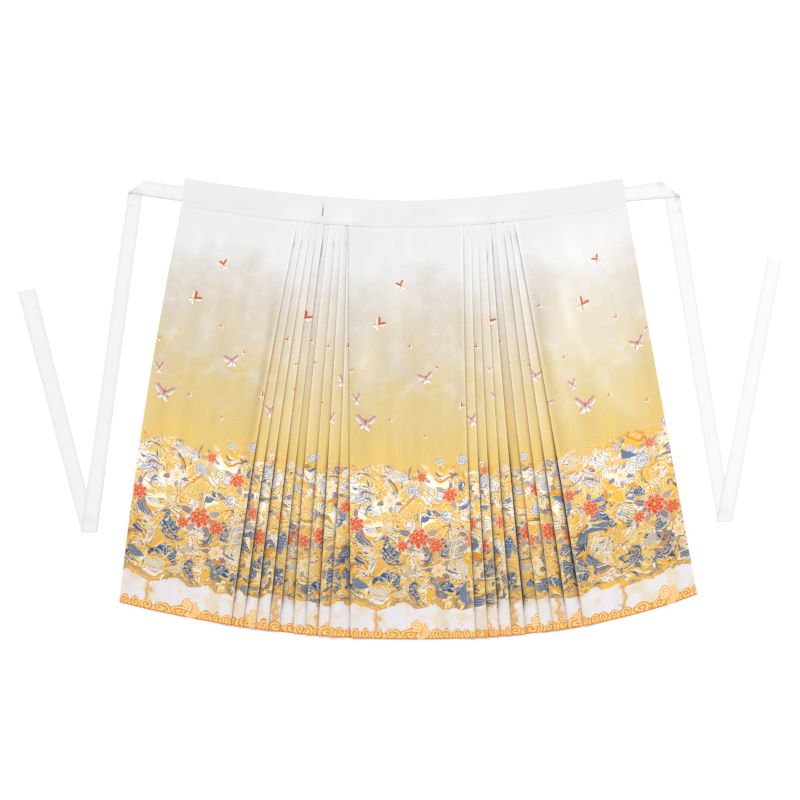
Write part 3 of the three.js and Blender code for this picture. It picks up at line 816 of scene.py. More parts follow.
def hem_border(add, at, cloth):
    """A narrow running scroll along the hem, turning over in every second cell."""
    across = add("Math:MULTIPLY_ADD", at.sideways, 16.0, at.u)
    wavering = add("Math:SINE", add("Math:MULTIPLY", at.u, 0.027))
    cell = add("Math:MULTIPLY", add("Math:MULTIPLY_ADD", wavering, 12.0, across), 1 / HEM_CELL)
    part = add("Math:SUBTRACT", add("Math:FRACT", cell), 0.5)
    odd = add("Math:FLOORED_MODULO", add("Math:FLOOR", cell), 2.0)
    turned = add("Math:MULTIPLY", part, add("Math:MULTIPLY_ADD", odd, 2.0, -1.0))
    x = add("Math:MULTIPLY", turned, HEM_CELL)
    y = add("Math:SUBTRACT", at.v, 10.5)
    r = add("VectorMath:LENGTH", add("CombineXYZ", x, y, 0.0), out="Value")
    rings = add("Math:MULTIPLY", r, 1 / 7.5)
    sweep = add("Math:MULTIPLY_ADD", add("Math:ARCTAN2", y, x), 0.5 / np.pi, rings)
    scroll = add("ValToRGB", add("Math:FRACT", sweep), stops=SCROLL_LINES)
    bow = add("Math:COSINE", add("Math:MULTIPLY", x, np.pi / HEM_CELL))
    crest = add("Math:MULTIPLY_ADD", at.upward, 14.0, add("Math:MULTIPLY_ADD", bow, 8.5, 15.0))
    line_low = add("Math:LESS_THAN", at.v, 2.6)
    line_high = add("Math:GREATER_THAN", at.v, add("Math:SUBTRACT", crest, 1.5))
    border = add("Mix", add("Math:MAXIMUM", line_low, line_high), scroll, "#E48408")
    return add("Mix", add("Math:LESS_THAN", at.v, crest), cloth, border)


def dabbed(add, at, cloth):
    """Short dabs of gold, cream and slate over the scrolls, as a loaded brush leaves them."""
    swirl = add("TexNoise", at.place, out="Color", Scale=0.011, Detail=1.0)
    bent = add("VectorMath:ADD", at.place, add("VectorMath:MULTIPLY", swirl, (190, 190, 0)))
    slanted = add("Mapping", bent, Rotation=(0, 0, 0.4), Scale=(0.7, 1.2, 1))
    inside = add("Math:MULTIPLY", at.dense, add("Math:GREATER_THAN", at.over_foot, 0.0))
    for offset, scale, least, colour in DABS:
        moved = add("VectorMath:ADD", slanted, (offset, 0, 0))
        noise = add("TexNoise", moved, Scale=scale, Detail=2.0, Distortion=0.8)
        dab = add("Math:GREATER_THAN", noise, least)
        cloth = add("Mix", add("Math:MULTIPLY", dab, inside), cloth, colour)
    return cloth


def laid_motifs(add, at, cloth, settings):
    """The motifs, from the lowest layer to the highest, and where the butterflies cover."""
    curled = motif_group("curl", partial(curl, settings.line_spacing))
    layers = {
        "waves": [motif_group("wave", wave)],
        "curls_large": [curled],
        "curls_small": [curled],
        "leaves": [motif_group("leaf", leaf)],
        "blooms": [motif_group("peony", peony), motif_group("butterfly", butterfly)],
    }
    for name, groups in layers.items():
        if name == "leaves":
            cloth = dabbed(add, at, cloth)
        carried = add("Attribute", attribute_name=name)
        radius = carried.node.outputs["Alpha"]
        tint = add("SeparateXYZ", carried, out="Z")
        for group, side in zip(groups, ("LESS", "GREATER")):
            drawn = add("Group", node_tree=group, Place=carried, Radius=radius, Wobble=at.wobble,
                        Fine=at.grain)
            cover = drawn.node.outputs["Cover"]
            if len(groups) > 1:
                cover = add("Math:MULTIPLY", cover, add(f"Math:{side}_THAN", tint, 1.5))
            cloth = add("Mix", cover, cloth, drawn)
    return cloth, cover


def threads_and_painted_sheen(add, at, cloth):
    """Threads and slight unevenness of the ink, and long soft streaks of painted sheen down the cloth, in
    the printed part.
    """
    along_threads = add("VectorMath:MULTIPLY", at.place, (0.16, 1.1, 0))
    threads = add("TexNoise", along_threads, Scale=1.0, Detail=1.0)
    tone = add("Math:MULTIPLY_ADD", add("Math:ADD", at.grain, threads), 0.3, 0.7)
    # Painted sheen: long soft streaks, lighter and paler or darker, as light plays down the satin
    streaks_place = add("VectorMath:MULTIPLY", at.place, (1, 0.12, 0))
    painted_sheen_streaks = add("TexNoise", streaks_place, Scale=0.03, Detail=2.0)
    tone = add("Math:MULTIPLY", tone, add("Math:MULTIPLY_ADD", painted_sheen_streaks, 0.2, 0.9))
    warm = add("ValToRGB", add("Math:MULTIPLY", at.v, 0.001), stops={
        0.07: "#FFFFFF", 0.1: "#F0E7D2", 0.19: "#F0E7D2", 0.28: "#FFFFFF"})
    cloth = add("Mix:MULTIPLY", 1.0, cloth, warm)
    printed = add("ValToRGB", at.high, stops={0.72: "#FFFFFF", 0.9: "#202020"})
    toned = add("CombineXYZ", tone, tone, add("Math:POWER", tone, 1.6))
    return add("Mix:MULTIPLY", printed, cloth, toned)


def painted_fold_shade(add, at, cloth, inked_part, settings):
    """The painted shade beside each fold, and the painted light on gleams and pressed edges, which
    spares the ink of the butterflies."""
    shadow = add("Attribute", attribute_name="shadow", out=2)
    # Colour of the painted shade at each height of the cloth
    deep = add("ValToRGB", at.high, stops={
        0.03: "#D8862A", 0.06: "#B59A90", 0.1: "#1E1A22", 0.38: "#3A2010", 0.48: "#D4800C",
        0.64: "#D49430", 0.76: "#A8937A", 0.84: "#808084"})
    strong = add("Math:MULTIPLY", shadow, settings.fold_shadow, use_clamp=True)
    cloth = add("Mix:MULTIPLY", strong, cloth, deep)
    # Painted highlight, mixed toward a paler colour at each height
    lit = add("Math:MULTIPLY", shadow, -0.5, use_clamp=True)
    lit = add("Math:MULTIPLY", lit, add("Math:MULTIPLY_ADD", inked_part, -0.8, 1.0))
    shine = add("ValToRGB", at.high, stops={
        0.37: "#D9BE78", 0.45: "#F4E4B4", 0.55: "#F6EACA", 0.7: "#F8F1E2", 0.86: "#FFFFFF"})
    return add("Mix", lit, cloth, shine)


def printed_satin(settings):
    """Polyester satin printed by heat transfer: the ink lies in the threads, so the print is as
    soft and slightly glossy as the cloth, with a fine gold grain and no raised edge."""
    material, add, shader = new_material("printed satin")
    at = print_measures(add)
    cloth = faded_ground(add, at, settings)
    cloth = flowing_lines(add, at, cloth)
    cloth = foot_of_print(add, at, cloth)
    cloth = hem_border(add, at, cloth)
    cloth, butterflies = laid_motifs(add, at, cloth, settings)
    cloth = threads_and_painted_sheen(add, at, cloth)
    cloth = painted_fold_shade(add, at, cloth, butterflies, settings)
    finish_satin(material, shader, cloth, 0.48)
    return material


class SkirtSettings(bpy.types.PropertyGroup):
    """Sizes and colours of the skirt's cloth."""

    white: FloatVectorProperty(
        name="White", description="Colour of the waistband and the ribbons",
        subtype="COLOR", min=0, max=1, default=linear("#E9E9EA"),
    )
    gold: FloatVectorProperty(
        name="Gold dust", description="Colour of the specks over the printed ground",
        subtype="COLOR", min=0, max=1, default=linear("#E6C258"),
    )
    cloth_thickness: FloatProperty(
        name="Cloth thickness", description="Thickness of the satin",
        default=0.4 * MM, unit="LENGTH", precision=4,
    )
    fold_roll: FloatProperty(
        name="Fold roll", description="How high a pleat's edge stands off the strip under it",
        default=1.6 * MM, unit="LENGTH", precision=4,
    )
    line_spacing: FloatProperty(
        name="Line spacing", description="Distance between the printed lines of a scroll",
        default=6.5 * MM, unit="LENGTH", precision=4,
    )
    # Strength of the painted shade beside each fold
    fold_shadow: FloatProperty(
        name="Fold shadow", description="How deep the tone beside a fold is",
        default=0.95, subtype="FACTOR",
    )
    key_light: FloatProperty(
        name="Key light", description="Strength of the studio light from the upper left", default=1.1,
    )
    fill_light: FloatProperty(
        name="Fill light", description="Strength of the studio light on the right, in watts", default=14,
    )
    soft_light: FloatProperty(
        name="Soft light", description="Strength of the light from all round", default=0.74,
    )
    ridge_height: FloatProperty(
        name="Ridge height", description="Scale of the soft ridges on the flat panels",
        default=1.0, subtype="FACTOR",
    )


# The print repeats along the cut width. Small butterflies: place on the cut (across from the
# panel's outer edge, up from the hem), half span, turn in degrees, foreshortening, tint
REPEAT = 467
BUTTERFLIES = [
    (121, 811, 16, 25, 0.6, 0), (68, 722, 20, -38, 0.62, 0), (140, 672, 8, 40, 0.7, 0),
    (176, 598, 19, 12, 0.9, 1), (199, 622, 8, -30, 0.6, 0), (16, 548, 19, 8, 0.5, 1),
    (36, 495, 25, -6, 0.95, 1), (95, 503, 8, 60, 0.6, 0), (175, 465, 7, 20, 0.7, 0),
    (257, 533, 11, -40, 0.6, 0), (272, 663, 8, 30, 0.7, 0), (6, 613, 7, 0, 0.7, 0),
    (308, 735, 15, 25, 0.6, 0), (352, 585, 17, -15, 0.9, 1), (398, 668, 9, 45, 0.7, 0),
    (330, 500, 20, 14, 0.6, 1), (418, 520, 14, -30, 0.9, 1), (376, 800, 12, 15, 0.6, 0),
    (441, 742, 8, 50, 0.7, 0), (296, 610, 9, 30, 0.6, 0),
]
# Peonies: place on the cut, radius, turn, tint
PEONIES = [
    (158, 232, 26, 10, 0), (196, 214, 18, 50, 0), (120, 214, 15, 25, 0), (92, 318, 17, 50, 1),
    (230, 330, 19, 0, 0), (14, 262, 20, 80, 0), (204, 158, 18, 30, 1), (286, 228, 24, 70, 0),
    (322, 262, 16, 15, 0), (344, 342, 18, 20, 1), (388, 210, 22, 45, 0), (436, 300, 16, 0, 0),
    (330, 150, 16, 60, 1), (166, 372, 13, 35, 0), (404, 384, 12, 5, 0),
]
LEAF_FAN = [(0.2, 1.0), (1.5, 0.8), (2.6, 1.1), (3.9, 0.9), (5.1, 1.0)]  # angle, length
# Scrolled clouds and waves: layer, how many, least and greatest radius, lowest and highest
# centre, and how far from level they may be turned
CURLS = [
    ("waves", 40, 24, 44, 92, 360, 75),
    ("curls_large", 10, 24, 38, 120, 366, 180),
    ("curls_small", 26, 11, 20, 88, 412, 180),
]
# Taller scrolls of the hem's border: head and stem
CREST_HEADS = ((154, 29, 17, -30), (391, 28, 16, 150))
CREST_STEMS = ((168, 15, 24, 62), (379, 15, 23, 118))
FACE_REACH = 5.5  # half a face of the sheet, by which a motif's own faces reach past it
# Shares of the four tints below each height over the hem
TINT_SHARES = (
    (190, (0.5, 0.22, 0.22, 0.06)), (310, (0.24, 0.36, 0.28, 0.12)), (1000, (0.04, 0.38, 0.2, 0.38)),
)
SMALLER_FROM = 330  # height over the hem from which scrolls are a quarter smaller


def scattered(count, least, greatest, low, high, lean, seed, first=()):
    """Discs that don't overlap in one repeat of the print, each with a turn and a tint."""
    chance = np.random.default_rng(seed)
    placed = list(first)
    for _ in range(count * 40):
        if len(placed) >= count + len(first):
            break
        u, v = chance.uniform(0, REPEAT), chance.uniform(low, high)
        radius = chance.uniform(least, greatest) * (1 - 0.25 * (v > SMALLER_FROM))
        turn = chance.uniform(-lean, lean)
        tint = chance.choice([0, 1, 2, 3], p=next(shares for top, shares in TINT_SHARES if v < top))
        clear = all(
            np.hypot(min(abs(u - m[0]), REPEAT - abs(u - m[0])), v - m[1]) > 0.8 * (radius + m[2]) + 8
            for m in placed
        )
        if clear:
            placed.append((u, v, radius, turn, 1, tint))
    return placed


def print_layers():
    """Every motif of one repeat, by the attribute that carries its layer."""
    layers = {}
    for seed, (name, *sizes) in enumerate(CURLS):
        crests = {"curls_small": CREST_HEADS, "waves": CREST_STEMS}.get(name, ())
        first = [(*crest, 1, 4) for crest in crests]
        layers[name] = scattered(*sizes, seed + 5, first)
    leaves = []
    for i, (u, v, radius, turn, tint) in enumerate(PEONIES):
        for angle, long in LEAF_FAN:
            at = angle + np.radians(turn)
            half = 0.62 * radius * long
            reach = radius * 0.92 + half * 0.5
            place = (u + reach * np.cos(at), v + reach * np.sin(at))
            leaves.append((*place, half, np.degrees(at), 1, (i + int(angle)) % 3))
    layers["leaves"] = leaves
    layers["blooms"] = [(u, v, r, turn, 1, tint) for u, v, r, turn, tint in PEONIES]
    layers["blooms"] += [(u, v, r, turn, s, 2 + tint) for u, v, r, turn, s, tint in BUTTERFLIES]
    return layers


def carry_print(mesh, corners, layers):
    """Gives each face's corners their place in the frame of the motif that the face belongs to,
    as a colour: across, along, the motif's tint and its radius."""
    centres = corners.mean(axis=1)
    widest = corners[:, :, 0].max()
    for name, motifs in layers.items():
        repeats = range(-1, int(widest // REPEAT) + 2)
        every = np.array([(u + n * REPEAT, *rest) for n in repeats for u, *rest in motifs])
        values = np.zeros((len(corners), 4, 4), np.float32)
        values[:, :, :2] = 9  # far outside any motif
        best = np.full(len(corners), FACE_REACH)
        for u, v, radius, turn, squash, tint in every:
            off = np.hypot(centres[:, 0] - u, centres[:, 1] - v) - radius * 1.05
            mine = off < best
            if not mine.any():
                continue
            best[mine] = off[mine]
            local = (corners[mine] - (u, v)) / radius
            c, s = np.cos(np.radians(turn)), np.sin(np.radians(turn))
            values[mine, :, 0] = (local[:, :, 0] * c + local[:, :, 1] * s) / squash
            values[mine, :, 1] = -local[:, :, 0] * s + local[:, :, 1] * c
            values[mine, :, 2] = tint
            values[mine, :, 3] = radius
        attribute = mesh.attributes.new(name, "FLOAT_COLOR", "CORNER")
        attribute.data.foreach_set("color", values.ravel())


LAID = {}  # the points of the widths, which the waistband is folded over


class SKIRT_OT_widths(bpy.types.Operator):
    """Lays out the two printed widths with their pleats"""

    bl_idname = "skirt.widths"
    bl_label = "Printed widths"

    def execute(self, context):
        settings = context.scene.skirt_settings
        satin = printed_satin(settings)
        layers = print_layers()
        left = width_points(
            LEFT_GROUP,
            lambda share: (line_x("leftSide", share), under_edge_x(share)),
            (PANEL_COLUMNS, HIDDEN_PANEL_COLUMNS), None, (True, False), settings,
        )
        right = width_points(
            RIGHT_GROUP,
            lambda share: (line_x("left9", share) - FREE_EDGE_OVERHANG, line_x("rightSide", share)),
            (PANEL_COLUMNS, PANEL_COLUMNS), over_under_panel, (True, True), settings,
        )
        for name, parts in (("left_width", left), ("right_width", right)):
            points, cut, shadow = parts
            LAID[name] = points
            piece, corners = cloth_mesh(f"{name}_cloth", points, cut, shadow, satin)
            carry_print(piece.data, corners, layers)
            finish_cloth(piece, settings.cloth_thickness)
            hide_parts(name)
        return {"FINISHED"}


# Slit in the waistband's upper leaf, with the middle of its open lips and of the dimple over
# it, and the puckered line of stitches to the right of it
SLIT = {"x": -179.2, "low": 18.9, "high": 37.1, "half": 0.5, "lips": 28, "dimple": 43}
BAND_END_SEAMS = (-491, 513)  # where each tie is sewn into the end of the band
PUCKERED = {"from_x": 150, "to_x": 512, "from_up": 19, "to_up": 4}
# How the band's short lines lean at each x, and the rows up its upper leaf and down its under one
BAND_SLANTS = {-501: -0.152, -234.9: -0.163, -114.4: 0.005, 145.5: 0.031, 263.9: 0.170, 521.5: 0.172}
LEAF_ROWS = [0, 1.5, 3, 5, 8, 11, 14, 17, 18.9, 23, 28, 33, 37.1, 40, 44, 48, 52, 55.5, 58.5, 61]
UNDER_LEAF_ROWS = [62.2, 50, 38, 28, 18, 8, 0]
LEAF_REST = CLOTH * 1.5 + BAND_INSIDE
FOLD_RADIUS = (LEAF_REST - CLOTH / 2) / 2
LEAF_CLEARANCE = 0.45  # how far the upper leaf lies over the folds under it
BAND_COLUMNS = 230
# Heights on the upper leaf: puckers of the seam, soft waves, the crimped line of stitches, the
# dips at the ties' seams, the slit's lips and its dimple
SEAM_PUCKER = 0.12
BAND_WAVE = 0.35
CRIMP = 0.7
END_DIP = 0.5
LIP = 1.1
DIMPLE = 0.9


def upper_envelope(widths, row, x):
    """Greatest height of the folded cloth at each x along one row of both widths."""
    height = np.full(len(x), CLOTH / 2)
    for points in widths:
        line = points[row] / MM
        for a, b in zip(line[:-1], line[1:]):
            low, high = (a, b) if a[0] <= b[0] else (b, a)
            inside = (x >= low[0] - 0.7) & (x <= high[0] + 0.7)
            at = np.interp(x[inside], [low[0], high[0] + 1e-6], [low[2], high[2]])
            height[inside] = np.maximum(height[inside], at)
    return height


def leaf_surface(widths):
    """The height of the band's upper leaf as a function of x at the seam and the way up."""
    x = np.arange(BAND_ENDS[0] - 4.0, BAND_ENDS[1] + 4.5, 1.0)
    draped = []
    for row in (1, 0):
        # The leaf bridges the folds under it, so their greatest height is spread and smoothed
        height = upper_envelope(widths, row, x)
        widest = np.max([np.roll(height, i) for i in range(-4, 5)], axis=0)
        kernel = np.exp(-(np.arange(-12, 13) / 5.0) ** 2)
        smooth = np.convolve(np.pad(widest, 12, mode="edge"), kernel / kernel.sum(), "valid")
        draped.append(np.maximum(smooth, height) + LEAF_CLEARANCE)

    def height(x0, up):
        seam, tuck = (np.interp(x0, x, line) for line in draped)
        near = seam + (tuck - seam) * np.clip(up / SEAM_TUCK, 0, 1)
        rise = np.clip((up - SEAM_TUCK) / (BAND_HEIGHT - FOLD_RADIUS - SEAM_TUCK), 0, 1)
        z = LEAF_REST + (near - LEAF_REST) * (1 - rise) ** 1.9
        z = z + SEAM_PUCKER * (1 + np.sin(x0 / 1.5 + 2 * np.sin(x0 / 17))) * np.exp(-up / 6)
        soft = 1 + np.sin(x0 / 23 + 1.5 * np.sin(x0 / 41 + up / 30))
        z = z + BAND_WAVE * soft * np.sin(np.pi * up / BAND_HEIGHT)
        t = (x0 - PUCKERED["from_x"]) / (PUCKERED["to_x"] - PUCKERED["from_x"])
        line_up = PUCKERED["from_up"] + (PUCKERED["to_up"] - PUCKERED["from_up"]) * t
        crimp = 0.6 + 0.4 * np.sin(x0 / 1.9 + 2.2 * np.sin(x0 / 11))
        z = z - CRIMP * ((t > 0) & (t < 1)) * crimp * np.exp(-(((up - line_up) / 2.6) ** 2))
        for end in BAND_END_SEAMS:
            z = z - END_DIP * np.exp(-(((x0 - end) / 2) ** 2)) * np.clip((up - 22) / 6, 0, 1)
        lips = np.exp(-(((x0 - SLIT["x"]) / 4.5) ** 2))
        open_at = np.exp(-(((up - SLIT["lips"]) / 10) ** 2))
        dimple = np.exp(-(((up - SLIT["dimple"]) / 5) ** 2))
        return z + lips * (LIP * open_at - DIMPLE * dimple)

    return height


class SKIRT_OT_waistband(bpy.types.Operator):
    """Folds the waistband over the top of both widths, with its slit and its stitches"""

    bl_idname = "skirt.waistband"
    bl_label = "Waistband"

    def execute(self, context):
        settings = context.scene.skirt_settings
        satin = white_satin(settings, "white woven satin")
        height = leaf_surface([LAID[name] for name in ("left_width", "right_width")])
        beside = np.array([-9, -5, -2.4, -SLIT["half"], SLIT["half"], 2.4, 5, 9]) + SLIT["x"]
        even = np.linspace(*BAND_ENDS, BAND_COLUMNS)
        x0 = np.sort(np.concatenate([even[np.abs(even - SLIT["x"]) > 11], beside]))
        slant = np.interp(x0, list(BAND_SLANTS), list(BAND_SLANTS.values()))
        seam_y = top_y(x0) - BAND_HEIGHT
        rows = [(np.full(len(x0), up), height(x0, up)) for up in LEAF_ROWS]
        centre = BAND_HEIGHT - CLOTH / 2 - FOLD_RADIUS
        for angle in np.linspace(np.pi / 2, -np.pi / 2, 7):
            over = (height(x0, LEAF_ROWS[-1]) - LEAF_REST) * max(np.sin(angle), 0)
            up = centre + FOLD_RADIUS * np.cos(angle)
            rows.append((np.full(len(x0), up), CLOTH / 2 + FOLD_RADIUS * (1 + np.sin(angle)) + over))
        rows += [(np.full(len(x0), up), np.full(len(x0), CLOTH / 2)) for up in UNDER_LEAF_ROWS]
        points, cut, shadow = [], [], []
        along = 0
        for i, (up, z) in enumerate(rows):
            points.append(np.stack([x0 - slant * up, seam_y + up, z], axis=1))
            if i:
                along += np.linalg.norm(points[i][0] - points[i - 1][0])
            cut.append(np.stack([x0 - BAND_ENDS[0], np.full(len(x0), along)], axis=1))
            # Painted shade in and round the slit, and in the dimple over it on the upper leaf
            in_slit = (np.abs(x0 - SLIT["x"]) < 1.5) & (up > SLIT["low"] - 1) & (up < SLIT["high"] + 1)
            dimple = np.exp(-(((x0 - SLIT["x"]) / 2.5) ** 2) - ((up - SLIT["dimple"]) / 4) ** 2)
            shadow.append(np.clip(in_slit * 0.6 + 0.3 * dimple * (i < len(LEAF_ROWS)), 0, 1))
        points, cut, shadow = (np.array(part) for part in (points, cut, shadow))
        ups = np.array(LEAF_ROWS)
        slit = np.zeros((len(rows) - 1, len(x0) - 1), bool)
        level = (ups[:-1] >= SLIT["low"]) & (ups[1:] <= SLIT["high"])
        slit[: len(ups) - 1] = level[:, None] & (np.abs((x0[1:] + x0[:-1]) / 2 - SLIT["x"]) < 0.1)
        piece, _ = cloth_mesh(
            "waistband_cloth", points[::-1] * MM, cut[::-1], shadow[::-1], satin, slit[::-1]
        )
        finish_cloth(piece, settings.cloth_thickness)
        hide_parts("waistband")
        stitches = band_stitches(height, x0, slant, seam_y, satin)
        return {"FINISHED"}


# Machine stitches, drawn at about twice the real pitch so that they show
STITCH = {"length": 2.6, "pitch": 4.0, "half": 0.28, "up": 3.2}


def band_stitches(height, x0, slant, seam_y, satin):
    """A row of machine stitches along the band's lower edge, each a small six-sided thread."""
    vertices, faces = [], []
    pitch = STITCH["pitch"]
    for middle in np.arange(BAND_ENDS[0] + pitch, BAND_ENDS[1] - pitch, pitch):
        start = len(vertices)
        for end in (-0.5, -0.35, 0.35, 0.5):
            at = middle + end * STITCH["length"]
            lean, y = np.interp(at, x0, slant), np.interp(at, x0, seam_y)
            ring = STITCH["half"] * (0.35 if abs(end) == 0.5 else 1)
            z = float(height(np.array([at]), STITCH["up"])[0]) + 0.25
            for k in range(6):
                angle = k * np.pi / 3
                vertices.append((
                    at - lean * STITCH["up"],
                    y + STITCH["up"] + ring * np.cos(angle),
                    z + ring * np.sin(angle),
                ))
        for r in range(3):
            for k in range(6):
                a, b = start + r * 6 + k, start + r * 6 + (k + 1) % 6
                faces.append((a, b, b + 6, a + 6))
        faces.append(tuple(start + k for k in reversed(range(6))))
        faces.append(tuple(start + 18 + k for k in range(6)))
    mesh = bpy.data.meshes.new("waistband_stitches")
    mesh.from_pydata(np.array(vertices) * MM, [], faces)
    piece = new_piece("waistband_stitches", mesh, satin)
    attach(piece, "root")
    return piece


# Ties: where each stretch starts and ends, as the ribbon's two edges, and how far each of the
# three stretches lies on the next or the last one at its start and at its end
TIES = {
    "left": {
        "band": ((-498.6, 510.3), (-500.9, 477.4)),
        "corner": ((-588.2, 522.9), (-624.9, 496.5)),
        "bottom": ((-697.5, -283.3), (-731.9, -283.3)),
        "tip": ((-838.9, 276.4), (-878.7, 269.4)),
        "over": ((200, 0), (0, 105), (0, 0)),
    },
    "right": {
        "band": ((515.8, 507.3), (521.3, 477.4)),
        "corner": ((603.2, 521.8), (644.6, 487.9)),
        "bottom": ((729.7, -259.3), (763.0, -259.3)),
        "tip": ((845.8, 351.1), (878.7, 341.2)),
        "over": ((200, 0), (0, 0), (105, 0)),
    },
}
TIE_TUCK = 10
TIE_FALL = 35
TIE_ROW = 3  # spacing of the rows along a stretch
TIE_COLUMNS = 14
# Painted shade at the pinches where the ties are folded: x, y, radius, strength
TIE_PINCHES = [
    (-619, 496, 5, 0.35), (-609, 505, 4, 0.25), (-600, 494, 8, 0.15), (-619, 466, 5, 0.12),
    (629, 499, 4, 0.3), (636, 491, 5, 0.35), (643, 486, 4, 0.3), (637, 481, 4, 0.25),
    (644, 455, 5, 0.15), (601, 514, 8, 0.15), (-715, -255, 14, 0.08), (745, -238, 14, 0.08),
]
# Soft cross creases: tie, stretch, share of its length, half width, height
TIE_CREASES = [
    ("left", 1, 0.18, 8, 0.45), ("left", 1, 0.41, 11, 0.3), ("left", 1, 0.66, 8, 0.4),
    ("left", 1, 0.83, 10, 0.35), ("left", 2, 0.2, 9, 0.3), ("left", 2, 0.47, 9, 0.45),
    ("left", 2, 0.74, 12, 0.3), ("right", 1, 0.13, 9, 0.5), ("right", 1, 0.34, 8, 0.35),
    ("right", 1, 0.58, 10, 0.45), ("right", 1, 0.8, 9, 0.3), ("right", 2, 0.25, 10, 0.35),
    ("right", 2, 0.52, 8, 0.5), ("right", 2, 0.79, 11, 0.3), ("left", 0, 0.55, 8, 0.35),
    ("right", 0, 0.5, 7, 0.4), ("right", 0, 0.72, 6, 0.3),
]


def stretch_rows(side, index, start, end, over):
    """Rows of one straight stretch: its two edges and its height, every few millimetres."""
    start, end = np.array(start), np.array(end)
    length = np.linalg.norm((end - start).mean(axis=0))
    distance = np.linspace(0, length, round(length / TIE_ROW))
    share = (distance / length)[:, None, None]
    edges = start + (end - start) * share
    raised = np.zeros(len(distance))
    for on_top, reach in zip(over, (distance, length - distance)):
        if on_top:
            raised = np.maximum(raised, np.clip(1 - (reach - on_top) / TIE_FALL, 0, 1))
    height = CLOTH / 2 + LAYER * raised
    for name, stretch, at, half, high in TIE_CREASES:
        if (name, stretch) == (side, index):
            height = height + high * np.exp(-(((distance - at * length) / half) ** 2))
    return edges, height


def turned_rows(edges, run, low, high):
    """Rows round a fold of the ribbon, which lies over its own end edge."""
    across = edges[1] - edges[0]
    out = np.array([across[1], -across[0]]) / np.linalg.norm(across)
    out = out * np.sign(out @ run)
    radius = (high - low) / 2
    angles = np.linspace(-np.pi / 2, np.pi / 2, 7)[1:-1]
    return (
        np.array([edges + out * abs(radius) * np.cos(a) for a in angles]),
        np.array([low + radius * (1 + np.sin(a)) for a in angles]),
    )


class SKIRT_OT_ties(bpy.types.Operator):
    """Folds a ribbon tie out from each end of the waistband"""

    bl_idname = "skirt.ties"
    bl_label = "Ribbon ties"

    def execute(self, context):
        settings = context.scene.skirt_settings
        ribbon = white_satin(settings, "white ribbon satin", ribbon=True)
        across = np.linspace(0, 1, TIE_COLUMNS)
        for side, rows in TIES.items():
            band, corner, bottom, tip = (np.array(end) for end in list(rows.values())[:4])
            run = (corner - band).mean(axis=0)
            tucked = band - TIE_TUCK * run / np.linalg.norm(run)
            edges, height = [], []
            stretches = [(tucked, corner), (corner, bottom), (bottom, tip)]
            for i, (start, end) in enumerate(stretches):
                stretch = stretch_rows(side, i, start, end, rows["over"][i])
                if i:
                    back = (start - stretches[i - 1][0]).mean(axis=0)
                    turned = turned_rows(start, back, height[-1][-1], stretch[1][0])
                    edges.append(turned[0])
                    height.append(turned[1])
                edges.append(stretch[0])
                height.append(stretch[1])
            edges, height = np.concatenate(edges), np.concatenate(height)
            xy = edges[:, :1] + (edges[:, 1:] - edges[:, :1]) * across[None, :, None]
            z = np.repeat(height[:, None], len(across), axis=1)
            points = np.concatenate([xy, z[:, :, None]], axis=2)
            steps = np.linalg.norm(np.diff(points[:, 3], axis=0), axis=1)
            along = np.concatenate([[0], np.cumsum(steps)])
            cut = np.stack(np.broadcast_arrays(across[None] * RIBBON_WIDE, along[:, None]), axis=2)
            # Painted shade at the folded pinches of the ribbon
            pinch_shade = sum(
                much * np.exp(-np.sum((xy - (px, py)) ** 2, axis=2) / near**2)
                for px, py, near, much in TIE_PINCHES
            )
            if side == "right":
                points, cut, pinch_shade = points[:, ::-1], cut[:, ::-1], pinch_shade[:, ::-1]
            piece, _ = cloth_mesh(f"{side}_tie_ribbon", points * MM, cut, pinch_shade, ribbon)
            finish_cloth(piece, settings.cloth_thickness)
            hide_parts(f"{side}_tie_run", f"{side}_tie_down", f"{side}_tie_up")
        return {"FINISHED"}


# A large, far and even studio light from the upper left, a weaker one on the right, and soft
# light from all round
KEY_FROM = (-1.6, 2.8, 3.4)
FILL_FROM = (2.4, 0.6, 2.6)
KEY_SOFTNESS = np.radians(24)
FILL_SIZE = 1.6
FLOOR_SIZE = 40
CAMERA_AT = (0.0006, 0.0194, 5.0)
VIEW_WIDE = 1.84
SENSOR = 36  # millimetres


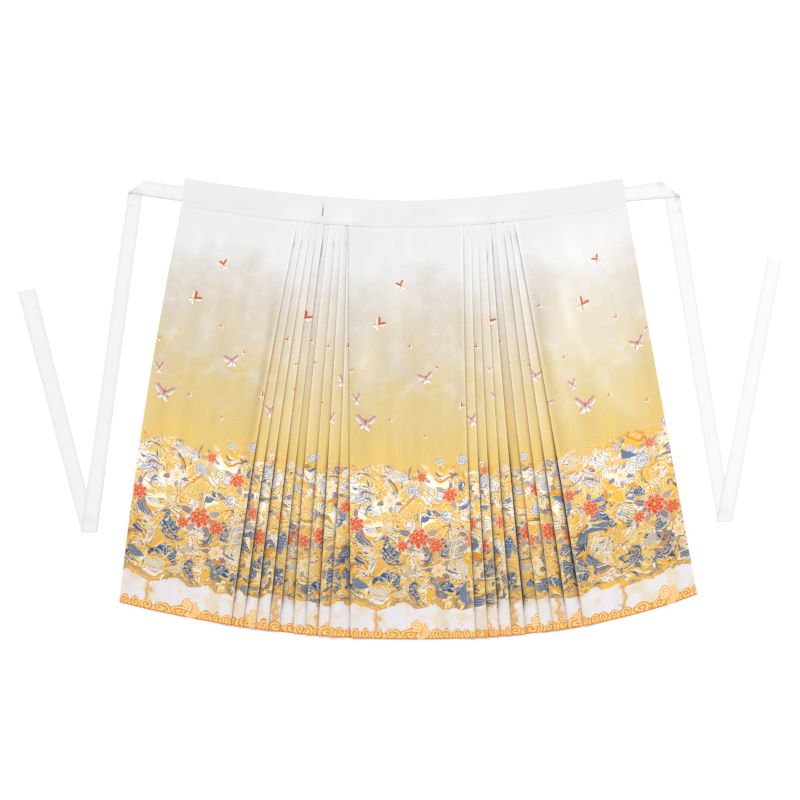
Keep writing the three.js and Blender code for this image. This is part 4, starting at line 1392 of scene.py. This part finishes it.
class SKIRT_OT_stage(bpy.types.Operator):
    """Sets a pale floor, soft studio light and the camera straight above"""

    bl_idname = "skirt.stage"
    bl_label = "Stage"

    def execute(self, context):
        scene = context.scene
        settings = scene.skirt_settings
        bpy.ops.object.select_all(action="DESELECT")
        bpy.ops.mesh.primitive_plane_add(size=FLOOR_SIZE, location=(0, 0, 0))
        floor = context.active_object
        floor.name = "floor"
        paper, _, shader = new_material("matt white paper")
        shader.inputs["Base Color"].default_value = rgba("#FFFFFF")
        shader.inputs["Roughness"].default_value = 1
        shader.inputs["IOR"].default_value = 1
        floor.data.materials.append(paper)
        for name, kind, place, energy in (
            ("key_light", "SUN", KEY_FROM, settings.key_light),
            ("fill_light", "AREA", FILL_FROM, settings.fill_light),
        ):
            bpy.ops.object.light_add(type=kind, location=place)
            lamp = context.active_object
            lamp.name = name
            lamp.data.energy = energy
            lamp.rotation_mode = "QUATERNION"
            lamp.rotation_quaternion = Vector(place).to_track_quat("Z", "Y")
            if kind == "SUN":
                lamp.data.angle = KEY_SOFTNESS
            else:
                lamp.data.size = FILL_SIZE
        world = bpy.data.worlds.new("studio") if scene.world is None else scene.world
        scene.world = world
        world.use_nodes = True
        sky = world.node_tree.nodes["Background"]
        sky.inputs["Color"].default_value = (1, 1, 1, 1)
        sky.inputs["Strength"].default_value = settings.soft_light
        bpy.ops.object.camera_add(location=CAMERA_AT, rotation=(0, 0, 0))
        camera = context.active_object
        camera.data.sensor_width = SENSOR
        camera.data.lens = SENSOR * CAMERA_AT[2] / VIEW_WIDE
        scene.camera = camera
        scene.view_settings.view_transform = "Standard"
        return {"FINISHED"}


STEPS = (SKIRT_OT_widths, SKIRT_OT_waistband, SKIRT_OT_ties, SKIRT_OT_stage)


class SKIRT_PT_panel(bpy.types.Panel):
    """Sizes and colours of the skirt, and the steps that make it"""

    bl_idname = "SKIRT_PT_panel"
    bl_label = "Horse-face skirt"
    bl_space_type = "VIEW_3D"
    bl_region_type = "UI"
    bl_category = "Skirt"

    def draw(self, context):
        for name in SkirtSettings.__annotations__:
            self.layout.prop(context.scene.skirt_settings, name)
        for step in STEPS:
            self.layout.operator(step.bl_idname)


CLASSES = (SkirtSettings, *STEPS, SKIRT_PT_panel)


def register():
    for item in CLASSES:
        bpy.utils.register_class(item)
    bpy.types.Scene.skirt_settings = PointerProperty(type=SkirtSettings)


def unregister():
    del bpy.types.Scene.skirt_settings
    for item in reversed(CLASSES):
        bpy.utils.unregister_class(item)


def main():
    register()
    bpy.ops.skirt.widths()
    bpy.ops.skirt.waistband()
    bpy.ops.skirt.ties()
    bpy.ops.skirt.stage()


if __name__ == "__main__":
    main()
